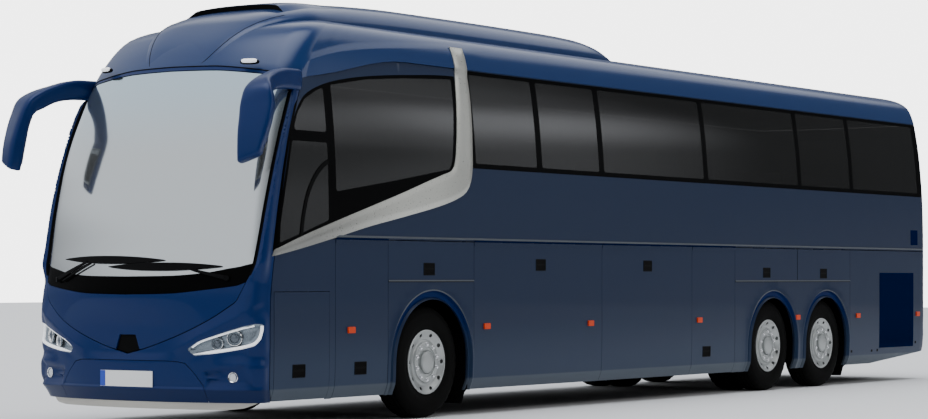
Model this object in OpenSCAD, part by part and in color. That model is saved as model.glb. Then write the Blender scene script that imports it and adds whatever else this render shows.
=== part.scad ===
// Three-axle touring coach: panels, glass, doors, axles and wheels.
// +X is forward, +Y is the coach's left, +Z is up. Millimetres.

/* [Body] */
// body length from nose to tail
body_len = 14200; // [13900:10:14500]
// body width over the side panels
body_w = 2550; // [2500:5:2600]
// thickness of the outer panels
wall_t = 45; // [25:1:60]
// gap between neighbouring panels
gap = 6; // [5:1:12]
// lower edge of the side skirts
skirt_z = 240; // [200:5:320]
// waist line, where the luggage doors hang
waist_z = 1650; // [1500:5:1750]
// passenger floor
floor_z = 1600; // [1500:5:1700]
// driver's platform
cab_z = 900; // [800:5:1000]
// glass thickness
glass_t = 10; // [6:1:14]

/* [Axles and wheels] */
// front axle position
front_x = 4195; // [4100:5:4300]
// drive axle position
drive_x = -2695; // [-2800:5:-2600]
// tag axle position
tag_x = -4085; // [-4200:5:-4000]
// tyre outer radius
tyre_r = 522; // [500:1:540]
// tyre width
tyre_w = 290; // [270:5:315]
// rim radius under the tyre
rim_r = 286; // [280:1:300]
// centre plane of the outer tyres
wheel_y = 1075; // [1050:1:1090]
// spacing of the twin tyres
twin = 330; // [320:1:350]
// steering pivot
pivot_y = 965; // [940:1:990]
// front wheel arch radius
arch_f = 585; // [575:1:600]
// rear wheel arch radius
arch_r = 552; // [545:1:570]

/* [Doors] */
// hinge tube radius of the side flaps
tube_r = 7; // [5:1:10]
// swing arm length of the passenger doors
arm_len = 470; // [400:5:550]
// lower edge of the passenger doors
door_z = 300; // [260:5:340]
// upper edge of the passenger doors
door_top = 2900; // [2700:10:3000]

/* [Hidden] */

nose0 = 7035;
tail0 = nose0 - body_len;
// rear end of the side panels
wall_x = tail0 + 245;
// [height, inset of the side from half the body width]
side_tab = [[200, 62], [240, 53], [350, 11], [520, 3], [800, 0], [1700, 0], [2000, 3], [2350, 13], [2600, 30],
  [2850, 53], [3100, 85], [3300, 120], [3420, 147], [3500, 177]];
// [height, how far the nose stands back]
nose_tab = [[190, 105], [240, 85], [330, 20], [420, 2], [620, 0], [900, 0], [1150, 8], [1280, 25], [1420, 48], [1530, 68],
  [1850, 126], [2070, 176], [2260, 224], [2530, 314], [2700, 388], [2887, 478], [3070, 580], [3150, 628], [3200, 664], [3300, 745]];
// [height, how far the tail stands forward]
tail_tab = [[300, 90], [420, 20], [600, 0], [1700, 0], [2400, 10], [3000, 28], [3300, 50]];
// roof rings: [height, half width, nose x, tail x]
ring_tab = [[3300, 1155, 6290, tail0 + 50], [3420, 1128, 6170, tail0 + 85], [3500, 1098, 6060, tail0 + 130], [3556, 1050, 5930, tail0 + 195],
  [3598, 975, 5780, tail0 + 285], [3632, 840, 5580, tail0 + 415], [3664, 620, 5350, tail0 + 585], [3692, 330, 5100, tail0 + 785]];
// pod: [x, half width, crown height]
pod_tab = [[6372, 330, 3205], [6310, 400, 3292], [6200, 480, 3405], [6050, 560, 3520], [5850, 640, 3630], [5550, 730, 3735],
  [5150, 800, 3815], [4600, 835, 3865], [3800, 845, 3890], [2400, 845, 3895], [1200, 835, 3892], [650, 815, 3880],
  [320, 785, 3840], [100, 740, 3765], [-40, 690, 3700]];

k_r = 2.353;
k_c = 0.235;
q_r = 6.3;
q_c = 0.157;
u_j = 1.87;
u_s = 1.5;
fth = asin((1 - k_c) / (k_r - k_c));
rth = asin((1 - q_c) / (q_r - q_c));
f_in = k_r - sqrt(pow(k_r - k_c, 2) - pow(1 - k_c, 2));
r_in = q_r - sqrt(pow(q_r - q_c, 2) - pow(1 - q_c, 2));

function lerp(a, b, t) = a + (b - a) * t;
function half_w(z) = body_w / 2 - lookup(z, side_tab);
function nose(z) = nose0 - lookup(z, nose_tab);
function tail(z) = tail0 + lookup(z, tail_tab);
function sgn(a) = a < 0 ? -1 : 1;
// point of a plan curve: 0 at the middle, 1 where the corner starts, 2 where it meets the side
function bow(xn, w, u, kr, kc, th, d) =
  let (a = abs(u), t = a <= 1 ? a * th : th + (90 - th) * (a - 1))
  a <= 1 ? [xn - d * kr * w * (1 - cos(t)), sgn(u) * kr * w * sin(t)]
         : [xn - d * (kr * w - sqrt(pow(kr - kc, 2) - pow(1 - kc, 2)) * w - kc * w * cos(t)), sgn(u) * w * (1 - kc + kc * sin(t))];
function front_at(xn, w, u) = bow(xn, w, u, k_r, k_c, fth, 1);
function rear_at(xn, w, u) = bow(xn, w, u, q_r, q_c, rth, -1);
function front_pt(u, z, o = 0) = let (p = front_at(nose(z) - o, half_w(z) - o, u)) [p[0], p[1], z];
function rear_pt(u, z, o = 0) = let (p = rear_at(tail(z) + o, half_w(z) - o, u)) [p[0], p[1], z];
function joint_x(z) = front_pt(u_j, z)[0];
// inner faces stop short of the outer ones, so that a panel's edge does not reach behind its neighbour
function in_f(u) = abs(u) <= u_s ? u : sgn(u) * (abs(u) - 0.1 * (abs(u) - u_s) / (u_j - u_s));
u_r = 1.85;
function in_r(u) = abs(u) <= 1 ? u : sgn(u) * (abs(u) - 0.16 * (abs(u) - 1) / (u_r - 1));
// lower and upper edge of the windscreen
function screen_z0(u) = 1185 + 95 * pow(min(abs(u), u_s) / 1.2, 2);
function screen_z1(u) = 3150 - 58 * pow(min(abs(u), u_s), 2);
// lower edge of the roof along the side
function roof_side(x) = let (t = max(0, min(1, (x - 4500) / 1650))) 3300 - 230 * t * t * (3 - 2 * t);
function flap_z(u) = lookup(abs(u), [[0, 598], [0.555, 598], [0.75, 378], [0.76, 378], [0.77, skirt_z], [3, skirt_z]]);

module shell(A, B) {
  nr = len(A);
  nc = len(A[0]);
  n = nr * nc;
  polyhedron(concat([for (r = A) each r], [for (r = B) each r]), concat(
    [for (r = [0 : nr - 2], c = [0 : nc - 2]) let (i = r * nc + c) each [[i, i + nc, i + nc + 1], [i, i + nc + 1, i + 1]]],
    [for (r = [0 : nr - 2], c = [0 : nc - 2]) let (i = n + r * nc + c) each [[i, i + nc + 1, i + nc], [i, i + 1, i + nc + 1]]],
    [for (i = [0 : nc - 2]) each [[i, i + 1, n + i + 1], [i, n + i + 1, n + i]]],
    [for (c = [0 : nc - 2]) let (i = n - nc + c) each [[i + 1, i, n + i], [i + 1, n + i, n + i + 1]]],
    [for (r = [0 : nr - 2]) let (i = r * nc) each [[i + nc, i, n + i], [i + nc, n + i, n + i + nc]]],
    [for (r = [0 : nr - 2]) let (i = r * nc + nc - 1) each [[i, i + nc, n + i + nc], [i, n + i + nc, n + i]]]));
}
module both() { for (s = [0, 1]) mirror([0, s, 0]) children(); }
// panel of the side between two x and two z, o0 and o1 below the outer face
module band(x0, x1, z0, z1, o0 = 0, o1 = wall_t) {
  zs = concat([z0], [for (k = side_tab) if (k[0] > z0 + 2 && k[0] < z1 - 2) k[0]], [z1]);
  translate([x0, 0, 0]) rotate([90, 0, 90]) linear_extrude(x1 - x0)
    polygon(concat([for (z = zs) [half_w(z) - o0, z]], [for (i = [len(zs) - 1 : -1 : 0]) [half_w(zs[i]) - o1, zs[i]]]));
}
// prism through the left side with an outline in x and z
module cut(p) { translate([0, 1500, 0]) rotate([90, 0, 0]) linear_extrude(600) polygon(p); }
function box_of(x0, x1, z0, z1) = [[x0, z0], [x1, z0], [x1, z1], [x0, z1]];
module arch(x, r) { translate([x, 1500, tyre_r]) rotate([90, 0, 0]) cylinder(r = r, h = 600); translate([x - r, 900, 0]) cube([2 * r, 600, tyre_r]); }
module block(x0, x1, y0, y1, z0, z1) { translate([x0, y0, z0]) cube([x1 - x0, y1 - y0, z1 - z0]); }
module rod(x, y0, y1, z, r) { translate([x, y0, z]) rotate([-90, 0, 0]) cylinder(r = r, h = y1 - y0); }

// ---- windows: outlines in x and z ----
pane_z0 = 2385;
pane_z1 = 3262;
// [front, rear] of the side panes
panes = [[3440, 2345], [2265, 1152], [1072, -1080], [-1160, -3375], [-3455, -4788], [-4868, -6780]];
drv_up = [[5775, 2590], [6255, 2590], [6170, 2745], [6055, 2868], [5882, 2950], [5775, 2985]];
drv_low = [[5775, 1815], [6130, 1705], [6478, 1605], [6468, 1770], [6398, 2062], [6320, 2356], [6280, 2495], [5775, 2495]];
second = [[3885, 2330], [4771, 2195], [5665, 2070], [5665, 3015], [5106, 3100], [4493, 3150], [3745, 3190], [3760, 2880], [3800, 2600], [3840, 2400]];
// the same pane on the right, behind the entrance door
second_r = [for (p = second) [min(p[0], 5600), p[1]]];
door_win = [[5735, 1560], [6420, 1560], [6370, 1900], [6300, 2240], [6230, 2480], [6090, 2740], [5980, 2810], [5735, 2810]];
door_x0 = 5650;
door_x1 = 6490;
function door_edge(z, g) = min(door_x1 - g, joint_x(z) - 14 - g);
function door_line(g) = concat([[door_x0 + g, door_z + g]], [for (z = [door_z + g, 1500, 1850, 2070, 2260, 2530, 2700, door_top - g]) [door_edge(z, g), z]], [[door_x0 + g, door_top - g]]);
mid_x0 = -1740;
mid_x1 = -800;

// [x of front edge, x of rear edge] of the side flaps
flap_b = [5686, 4895];
flap_d = [3501, 1140];
flap_e = [1140, -766];
flap_f = [-766, -1761];
hinge_y = body_w / 2 + 7;
hinge_z = waist_z + 4;
hatch_z = 1187;

module flap(f, z1 = waist_z - 6, hz = hinge_z) {
  band(f[1] + gap / 2, f[0] - gap / 2, skirt_z + 8, z1);
  // hinge tube and its leaf
  translate([f[1] + gap, hinge_y, hz]) rotate([0, 90, 0]) cylinder(r = tube_r, h = f[0] - f[1] - 2 * gap);
  block(f[1] + gap, f[0] - gap, half_w(z1) - 6, half_w(z1) + 8, z1 - 40, z1 - 2);
  block(f[1] + gap, f[0] - gap, half_w(z1) + 2, half_w(z1) + 8, z1 - 20, hz);
}

module wall_line() {
  polygon(concat([[wall_x, waist_z + 14], [6500, waist_z + 14]], [for (z = [waist_z + 14, 1850, 2070, 2260, 2530, 2700, 2887, 3040]) [joint_x(z) - gap - 4, z]],
    [for (x = [6030 : -255 : 4500]) [x, roof_side(x) - gap - 18]], [[3700, 3300 - gap], [wall_x, 3300 - gap]]));
}
module wall_body() {
  intersection() {
    band(wall_x, 6560, waist_z + 14, 3300 - gap);
    translate([0, 1500, 0]) rotate([90, 0, 0]) linear_extrude(600) wall_line();
  }
}

module left_wall() {
  color([0.10, 0.18, 0.36]) difference() {
    wall_body();
    for (p = panes) cut(box_of(p[1], p[0], pane_z0, pane_z1));
    cut(drv_up);
    cut(drv_low);
    cut(second);
  }
}
module right_wall() {
  color([0.10, 0.18, 0.36]) mirror([0, 1, 0]) difference() {
    wall_body();
    for (p = panes) cut(box_of(p[1], p[0], pane_z0, pane_z1));
    cut(second_r);
    cut(door_line(-gap));
    cut(box_of(mid_x0 - gap, mid_x1 + gap, 1000, door_top + gap));
  }
}
// outline of a lower panel that ends at the front corner
function front_line(x0) = concat([[x0, 100], [joint_x(skirt_z) - gap, 100]], [for (z = [skirt_z, 290, 350, 420, 900, 1150, 1280, 1420, 1530, waist_z]) [joint_x(z) - gap, z]], [[x0, waist_z]]);
module lower_panels() {
  color([0.13, 0.20, 0.36]) {
    // left front quarter around the hatch
    difference() {
      intersection() { band(flap_b[0] + gap, 6600, skirt_z, waist_z - 6); cut(front_line(5600)); }
      cut(box_of(5771, 6540, 0, hatch_z + 10));
      cut([[6050, 1700], [6050, 1660], [6300, 1605], [6700, 1520], [6700, 1700]]);
    }
    // right front quarter behind the entrance
    mirror([0, 1, 0]) band(flap_b[1], door_x0 - gap, skirt_z, waist_z - 6);
    both() {
      difference() {
        band(flap_d[0] + gap, flap_b[1] - gap, skirt_z, waist_z - 6);
        arch(front_x, arch_f);
      }
      difference() {
        band(-4742 + gap / 2, flap_f[1] - gap / 2, skirt_z, waist_z - 6);
        arch(drive_x, arch_r);
        arch(tag_x, arch_r);
      }
      difference() {
        band(wall_x, -4742 - gap / 2, skirt_z, waist_z - 6);
        cut([[-5400, 100], [-5400, skirt_z], [tail0 + 135, 372], [tail0 + 135, 100]]);
      }
    }
    // strip ahead of the entrance
    mirror([0, 1, 0]) intersection() { band(door_x1 + gap, 6600, skirt_z, waist_z - 6); cut(front_line(6400)); }
  }
}
module pane(p) { intersection() { band(wall_x, 6560, 1500, 3290, 2, 2 + glass_t); cut(p); } }
module windows() {
  g = 3;
  color([0.10, 0.12, 0.14, 0.5]) {
    for (p = panes) band(p[1] + g, p[0] - g, pane_z0 + g, pane_z1 - g, 2, 2 + glass_t);
    mirror([0, 1, 0]) for (i = [0 : 5]) let (p = panes[i]) if (i != 2 && i != 3) band(p[1] + g, p[0] - g, pane_z0 + g, pane_z1 - g, 2, 2 + glass_t);
    mirror([0, 1, 0]) {
      band(mid_x1 + gap + g, panes[2][0] - g, pane_z0 + g, pane_z1 - g, 2, 2 + glass_t);
      band(panes[3][1] + g, mid_x0 - gap - g, pane_z0 + g, pane_z1 - g, 2, 2 + glass_t);
    }
    pane(second);
    mirror([0, 1, 0]) pane(second_r);
    pane(drv_up);
    pane(drv_low);
    // rear window
    shell([for (z = [2410 : 190 : 3170]) [for (u = [0.9 : -0.2 : -0.9]) rear_pt(u, z, 4)]], [for (z = [2410 : 190 : 3170]) [for (u = [0.9 : -0.2 : -0.9]) rear_pt(u, z, 4 + glass_t)]]);
  }
}

// ---- front ----
mask_u = [-u_j, -1.7, -1.5, -1.35, -1.2, -1.05, -0.92, -0.77, -0.76, -0.65, -0.555, -0.37, -0.18, 0,
  0.18, 0.37, 0.555, 0.65, 0.76, 0.77, 0.92, 1.05, 1.2, 1.35, 1.5, 1.7, u_j];
module front_mask() {
  function top(u) = abs(u) <= u_s ? screen_z0(u) - gap : 1326;
  function zz(u, v) = lerp(flap_z(u) + (abs(u) < 0.765 ? 12 : 0), top(u), v);
  color([0.08, 0.17, 0.42]) shell(
    [for (v = [0, 0.05, 0.1, 0.2, 0.35, 0.5, 0.65, 0.8, 0.9, 1]) [for (u = mask_u) front_pt(u, zz(u, v))]],
    [for (v = [0, 0.05, 0.1, 0.2, 0.35, 0.5, 0.65, 0.8, 0.9, 1]) [for (u = mask_u) front_pt(in_f(u), zz(u, v), wall_t)]]);
}
module front_flap() {
  us = [-0.745, -0.65, -0.545, -0.36, -0.18, 0, 0.18, 0.36, 0.545, 0.65, 0.745];
  function top(u) = lookup(abs(u), [[0, 590], [0.545, 590], [0.745, 370]]);
  color([0.08, 0.17, 0.42]) {
    shell([for (v = [0, 0.2, 0.4, 0.7, 1]) [for (u = us) front_pt(u, lerp(250, top(u), v))]],
      [for (v = [0, 0.2, 0.4, 0.7, 1]) [for (u = us) front_pt(u, lerp(250, top(u), v), wall_t)]]);
    rod(nose0 - 8, -140, 140, 592, 5);
  }
}
module front_lip() {
  us = [for (i = [-10 : 10]) i * u_j / 10];
  color([0.85, 0.83, 0.78]) shell([for (z = [190, 215, 236]) [for (u = us) front_pt(u, z, -4)]], [for (z = [190, 215, 236]) [for (u = us) front_pt(u, z, 40)]]);
}
module windscreen() {
  us = [for (i = [-10 : 10]) i * u_s / 10];
  color([0.6, 0.64, 0.66, 0.5]) shell(
    [for (v = [0 : 0.1 : 1.001]) [for (u = us) front_pt(u, lerp(screen_z0(u), screen_z1(u), v), 4)]],
    [for (v = [0 : 0.1 : 1.001]) [for (u = us) front_pt(u, lerp(screen_z0(u), screen_z1(u), v), 4 + glass_t)]]);
}
module a_pillars() {
  us = [u_s + 0.02, 1.6, 1.7, 1.8, u_j];
  function z1(u) = lerp(3006, 3044, (u - u_s) / (u_j - u_s));
  // how far the pillar stands out past the glass
  function relief(u, z) = lookup(u, [[1.5, 50], [1.6, 45], [1.7, 26], [1.8, 6], [1.87, 0]]) * lookup(z, [[1332, 0.25], [1500, 1], [2800, 1], [2960, 0]]);
  color([0.08, 0.17, 0.42]) for (s = [-1, 1]) {
    cols = s > 0 ? us : [for (i = [len(us) - 1 : -1 : 0]) -us[i]];
    shell([for (v = [0 : 0.1 : 1.001]) [for (u = cols) let (z = lerp(1332, z1(abs(u)), v)) front_pt(u, z, -relief(abs(u), z))]],
      [for (v = [0 : 0.1 : 1.001]) [for (u = cols) front_pt(in_f(u), lerp(1332, z1(abs(in_f(u))), v), wall_t)]]);
  }
}

// ---- roof ----
st_f = [0, 0.25, 0.5, 0.75, 1, 1.25, 1.5, 1.75, 2];
st_s = [for (i = [1 : 11]) i / 12];
st_r = [2, 1.6, 1.3, 1, 0.66, 0.33, 0];
n_f = len(st_f);
n_s = len(st_s);
n_h = n_f + n_s + len(st_r);
function ring_pt(k, i, o) =
  let (w = ring_tab[k][1] - o * (k < 4 ? 1 : 0.3), xn = ring_tab[k][2] - o, xt = ring_tab[k][3] + o,
    xa = xn - f_in * w, xb = xt + r_in * w,
    p = i < n_f ? front_at(xn, w, st_f[i]) : i < n_f + n_s ? [lerp(xa, xb, st_s[i - n_f]), w] : rear_at(xt, w, st_r[i - n_f - n_s]))
  [p[0], p[1], ring_tab[k][0] - o * (k < 1 ? 0 : k < 3 ? 0.4 : 1)];
// lowest ring follows the windscreen, the side windows and the tail
function rim_pt(i, o) =
  i < n_f ? let (u = st_f[i]) front_pt(u, u <= u_s ? screen_z1(u) + gap : lerp(screen_z1(u_s) + gap, 3066, (u - u_s) / (2 - u_s)), o)
  : i < n_f + n_s ? let (q = ring_pt(0, i, 0), z = roof_side(q[0])) [q[0], half_w(z) - o, z]
  : rear_pt(st_r[i - n_f - n_s], 3300, o);
function ring(k, o) = let (half = [for (i = [0 : n_h - 1]) k < 0 ? rim_pt(i, o) : ring_pt(k, i, o)])
  concat(half, [for (i = [n_h - 2 : -1 : 1]) [half[i][0], -half[i][1], half[i][2]]]);
module roof() {
  A = [for (k = [-1, 1, 2, 3, 4, 5, 6, 7]) ring(k, 0)];
  B = [for (k = [-1, 1, 2, 3, 4, 5, 6, 7]) ring(k, wall_t)];
  nr = len(A);
  nc = len(A[0]);
  n = nr * nc;
  t = n - nc;
  h = n_h - 1;
  color([0.12, 0.22, 0.45]) polyhedron(concat([for (r = A) each r], [for (r = B) each r]), concat(
    [for (r = [0 : nr - 2], c = [0 : nc - 1]) let (i = r * nc + c, j = r * nc + (c + 1) % nc) each [[i, i + nc, j + nc], [i, j + nc, j]]],
    [for (r = [0 : nr - 2], c = [0 : nc - 1]) let (i = n + r * nc + c, j = n + r * nc + (c + 1) % nc) each [[i, j + nc, i + nc], [i, j, j + nc]]],
    [for (c = [0 : nc - 1]) let (i = c, j = (c + 1) % nc) each [[i, j, n + j], [i, n + j, n + i]]],
    [for (k = [1 : h - 2]) each [[t + k, t + nc - k, t + nc - k - 1], [t + k, t + nc - k - 1, t + k + 1]]],
    [[t, t + nc - 1, t + 1], [t + h - 1, t + h + 1, t + h]],
    [for (k = [1 : h - 2]) each [[n + t + k, n + t + nc - k - 1, n + t + nc - k], [n + t + k, n + t + k + 1, n + t + nc - k - 1]]],
    [[n + t, n + t + 1, n + t + nc - 1], [n + t + h - 1, n + t + h, n + t + h + 1]]));
}
// height of the plain roof under the pod
function roof_z(x, y) = min(lookup(-abs(y), [for (r = ring_tab) [-r[1], r[0]]]),
  lookup(-x, concat([[-7000, 3000], [-6407, 3150]], [for (r = ring_tab) [-(r[2] - k_r * r[1] * (1 - sqrt(1 - pow(min(abs(y), r[1] * 0.98) / (k_r * r[1]), 2)))), r[0]]])));
module roof_pod() {
  vs = [-1, -0.97, -0.9, -0.78, -0.62, -0.42, -0.2, 0, 0.2, 0.42, 0.62, 0.78, 0.9, 0.97, 1];
  function zt(p, v) = let (b = roof_z(p[0], v * p[1]) + 14) max(b + 22, b + (p[2] - b) * pow(1 - pow(abs(v), 3.2), 0.45));
  color([0.10, 0.20, 0.42]) shell([for (p = pod_tab) [for (v = vs) [p[0], -v * p[1], roof_z(p[0], v * p[1]) + 14]]],
    [for (p = pod_tab) [for (v = vs) [p[0], -v * p[1], zt(p, v)]]]);
}

// ---- rear ----
module rear_wall() {
  us = [u_r, 1.65, 1.45, 1.22, 1, 0.75, 0.5, 0.25, 0, -0.25, -0.5, -0.75, -1, -1.22, -1.45, -1.65, -u_r];
  zs = [372, 480, 600, 1200, 1700, 2350, 2700, 3000, 3294];
  color([0.10, 0.18, 0.36]) difference() {
    shell([for (z = zs) [for (u = us) rear_pt(u, z)]], [for (z = zs) [for (u = us) rear_pt(in_r(u), z, wall_t)]]);
    block(tail0 - 165, tail0 + 235, -860, 860, 580, waist_z + 14);
    block(tail0 + 238, tail0 + 535, -1400, 1400, 300, 3400);
    translate([tail0 - 165, 0, 0]) rotate([90, 0, 90]) linear_extrude(400) polygon([[-985, 2395], [985, 2395], [965, 3185], [-965, 3185]]);
  }
}
module engine_door() {
  us = [0.81, 0.6, 0.4, 0.2, 0, -0.2, -0.4, -0.6, -0.81];
  zs = [588, 850, 1250, waist_z - 2];
  color([0.10, 0.18, 0.36]) {
    intersection() {
      shell([for (z = zs) [for (u = us) rear_pt(u, z)]], [for (z = zs) [for (u = us) rear_pt(u, z, wall_t)]]);
      block(tail0 - 165, tail0 + 235, -852, 852, 500, 1700);
    }
    rod(tail0 + 8, -200, 200, waist_z - 2, 6);
  }
}

// ---- trim and lamps ----
trim_lo = [[6572, 1491], [6245, 1549], [5700, 1668], [5190, 1768], [4629, 1870], [4045, 1984], [3802, 2047], [3637, 2116],
  [3551, 2215], [3517, 2331], [3495, 2563], [3478, 2772], [3469, 3052], [3470, 3290]];
trim_hi = [[3672, 3290], [3687, 3154], [3718, 2875], [3757, 2598], [3816, 2366], [3872, 2312], [3993, 2278], [4233, 2211],
  [4624, 2097], [5188, 1942], [5727, 1795], [6143, 1676], [6545, 1547]];
module side_trim() {
  color([0.75, 0.76, 0.77]) {
    intersection() {
      band(3400, 6560, 1480, 3290, -8, -2);
      cut(concat(trim_lo, trim_hi));
      cut(concat([[3000, 1480], [joint_x(1480) - gap, 1480]], [for (z = [1480, 1530, 1600, 1700]) [joint_x(z) - gap, z]], [[6400, 3300], [3000, 3300]]));
    }
    mirror([0, 1, 0]) intersection() {
      band(3400, 5630, 1670, 3290, -8, -2);
      cut(concat(trim_lo, trim_hi));
    }
  }
}
module lens(c, o0, o1) {
  // a four-cornered lens on the front: corners as [u, z], low inner, low outer, high outer, high inner
  function at(s, t) = [for (i = [0, 1]) lerp(lerp(c[0][i], c[1][i], s), lerp(c[3][i], c[2][i], s), t)];
  ss = [0 : 0.125 : 1];
  ts = [0 : 0.25 : 1];
  shell([for (t = ts) [for (s = ss) let (p = at(s, t)) front_pt(p[0], p[1], o0)]], [for (t = ts) [for (s = ss) let (p = at(s, t)) front_pt(p[0], p[1], o1)]]);
}
module lamps() {
  color([0.9, 0.9, 0.92]) {
    // headlamps
    both() lens([[0.6, 655], [1.72, 745], [1.72, 912], [0.62, 690]], -8, -2);
    // fog lamps
    both() translate(front_pt(0.985, 462) + [4, 0, 0]) rotate([0, 90, 20]) cylinder(r = 48, h = 12);
    // roof markers
    both() translate([6318, 800, 3262]) rotate([0, -35, 18]) cube([10, 140, 44]);
    // tail lamps
    both() translate([tail0 + 48, 1000, 900]) rotate([0, 0, -8]) translate([-26, 0, 0]) cube([12, 120, 560]);
  }
}

// ---- mirrors and wipers ----
// [x, y, z, half length, half width, half height] along the arm and down the head
mirror_tab = [[6152, 1227, 3030, 40, 44, 60], [6300, 1230, 3028, 50, 46, 66], [6450, 1238, 3012, 50, 50, 76], [6620, 1258, 2970, 52, 62, 76],
  [6752, 1298, 2915, 66, 92, 72], [6838, 1338, 2862, 68, 118, 64], [6895, 1370, 2740, 76, 130, 60], [6930, 1378, 2630, 78, 124, 60],
  [6966, 1377, 2500, 80, 112, 60], [6988, 1377, 2375, 76, 98, 70], [7003, 1378, 2315, 70, 90, 56]];
module mirrors() {
  color([0.08, 0.17, 0.42]) both() for (i = [0 : len(mirror_tab) - 2]) hull() for (m = [mirror_tab[i], mirror_tab[i + 1]])
    translate([m[0], m[1], m[2]]) scale([m[3], m[4], m[5]]) sphere(r = 1, $fn = 12);
}
// bar over the windscreen between two points given as [u, z]
module wiper_bar(a, b, o, r) {
  n = 6;
  for (i = [0 : n - 1]) hull() for (t = [i, i + 1]) translate(front_pt(lerp(a[0], b[0], t / n), lerp(a[1], b[1], t / n), o)) sphere(r = r, $fn = 8);
}
// [one end, other end, pivot, where the arm meets the blade]
wiper_tab = [[[-0.745, 1472], [0.35, 1461], [-0.833, 1292], [-0.444, 1452]], [[-0.188, 1404], [0.855, 1407], [0.905, 1306], [0.609, 1396]]];
module wipers() {
  color([0.03, 0.03, 0.03]) for (w = wiper_tab) {
    wiper_bar(w[0], w[1], -10, 9);
    wiper_bar(w[2], w[3], -12, 9);
  }
}

// ---- frame, floor, inside ----
rail_y = 300;
module frame_rails() {
  color([0.08, 0.08, 0.09]) difference() {
    union() {
      both() {
        block(3540, 6560, rail_y, rail_y + 80, 620, 800);
        block(-6750, -1700, rail_y, rail_y + 80, 640, 800);
        // jacking pads
        block(4960, 5160, 300, 560, 560, 640);
        block(-5200, -5000, 300, 560, 560, 660);
      }
      for (x = [3560, 4800, 5600, 6480]) block(x, x + 60, -405, 405, 640, 780);
      for (x = [-4750, -3420, -2080, -1770]) block(x, x + 60, -470, 470, 660, 780);
      block(-6750, -6690, -380, 380, 640, 800);
      // tow beams
      block(6480, 6860, 560, 680, 300, 420);
      block(6480, 6560, 300, 680, 300, 800);
      block(-6900, -6690, 560, 680, 240, 360);
      block(-6750, -6690, 300, 680, 240, 800);
    }
    translate([6760, 620, 360]) rotate([0, 90, 0]) cylinder(r = 20, h = 200);
    translate([-7000, 620, 300]) rotate([0, 90, 0]) cylinder(r = 20, h = 200);
  }
}
module wheel_housings() {
  color([0.08, 0.08, 0.09]) both() {
    block(3540, 4880, 405, 420, 640, 1160);
    block(3540, 4880, 405, 1215, 1145, 1160);
    block(4865, 4880, 405, 1170, 420, 1160);
    block(-4760, -1700, 470, 485, 640, 1160);
    block(-4760, -1700, 470, 1215, 1145, 1160);
    block(-4760, -4745, 470, 1170, 260, 1160);
    // mud flaps
    block(3540, 3552, 620, 1160, 180, 460);
    block(-4760, -4745, 600, 1160, 160, 400);
  }
}
module luggage_floor() { color([0.10, 0.10, 0.11]) block(-1700, 3540, -1170, 1170, 400, 450); }
module bulkheads() {
  color([0.10, 0.10, 0.11]) {
    block(3500, 3540, -1190, 1190, 450, floor_z - 40);
    block(-1700, -1660, -640, 1190, 450, floor_z - 40);
  }
}
module cabin_floor() {
  color([0.16, 0.16, 0.17]) difference() {
    block(wall_x + 10, 5000, -1218, 1218, floor_z - 40, floor_z);
    block(-1740, -800, -1300, -640, 1400, 1700);
  }
}
module cab_platform() {
  color([0.16, 0.16, 0.17]) {
    // riser and driver's platform
    block(4960, 5000, -640, 1218, cab_z - 40, floor_z - 40);
    block(4960, 6480, -640, 1218, cab_z - 40, cab_z);
    // entrance steps
    block(5020, 5640, -1218, -640, cab_z - 40, cab_z);
    block(5600, 5640, -1218, -640, 380, cab_z);
    block(5600, 6400, -680, -640, 380, cab_z);
    block(5600, 6390, -1150, -640, 380, 400);
    block(5600, 6400, -860, -640, 380, 640);
  }
}
module middle_steps() {
  color([0.16, 0.16, 0.17]) {
    block(-1640, -800, -1150, -640, 450, 470);
    block(-1640, -800, -980, -640, 450, 740);
    block(-1640, -800, -820, -640, 450, 1020);
    block(-1640, -800, -680, -640, 450, floor_z);
  }
}
module seat_pair(x, y) {
  translate([x, y, floor_z]) {
    block(-60, 260, -60, 60, 0, 330);
    block(-40, 430, -450, 450, 320, 440);
    translate([-40, -450, 330]) rotate([0, -12, 0]) cube([110, 900, 800]);
  }
}
module seats() {
  color([0.20, 0.22, 0.27]) {
    for (i = [0 : 12]) seat_pair(4100 - i * 800, 720);
    for (i = [0 : 5]) seat_pair(4100 - i * 800, -720);
    for (i = [8 : 12]) seat_pair(4100 - i * 800, -720);
    // driver's seat
    translate([5350, 620, cab_z]) {
      block(0, 300, -120, 120, 0, 400);
      block(-60, 440, -250, 250, 380, 500);
      translate([-60, -250, 400]) rotate([0, -12, 0]) cube([120, 500, 820]);
    }
  }
}
module dashboard() {
  color([0.07, 0.07, 0.08]) {
    block(6180, 6420, -560, 1130, cab_z, 1180);
    block(6060, 6420, 220, 1000, 1080, 1290);
    // steering wheel on its column
    translate([5960, 620, 1330]) rotate([0, 55, 0]) rotate_extrude() translate([215, 0]) circle(r = 16);
    translate([5960, 620, 1330]) rotate([0, 55, 0]) { cylinder(r = 60, h = 130); translate([-215, -18, 0]) cube([430, 36, 24]); }
  }
}
module engine() {
  color([0.22, 0.22, 0.23]) {
    block(-6560, -5250, -290, 290, 500, 1430);
    block(-6560, -5250, -470, 470, 800, 1430);
  }
}

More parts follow.
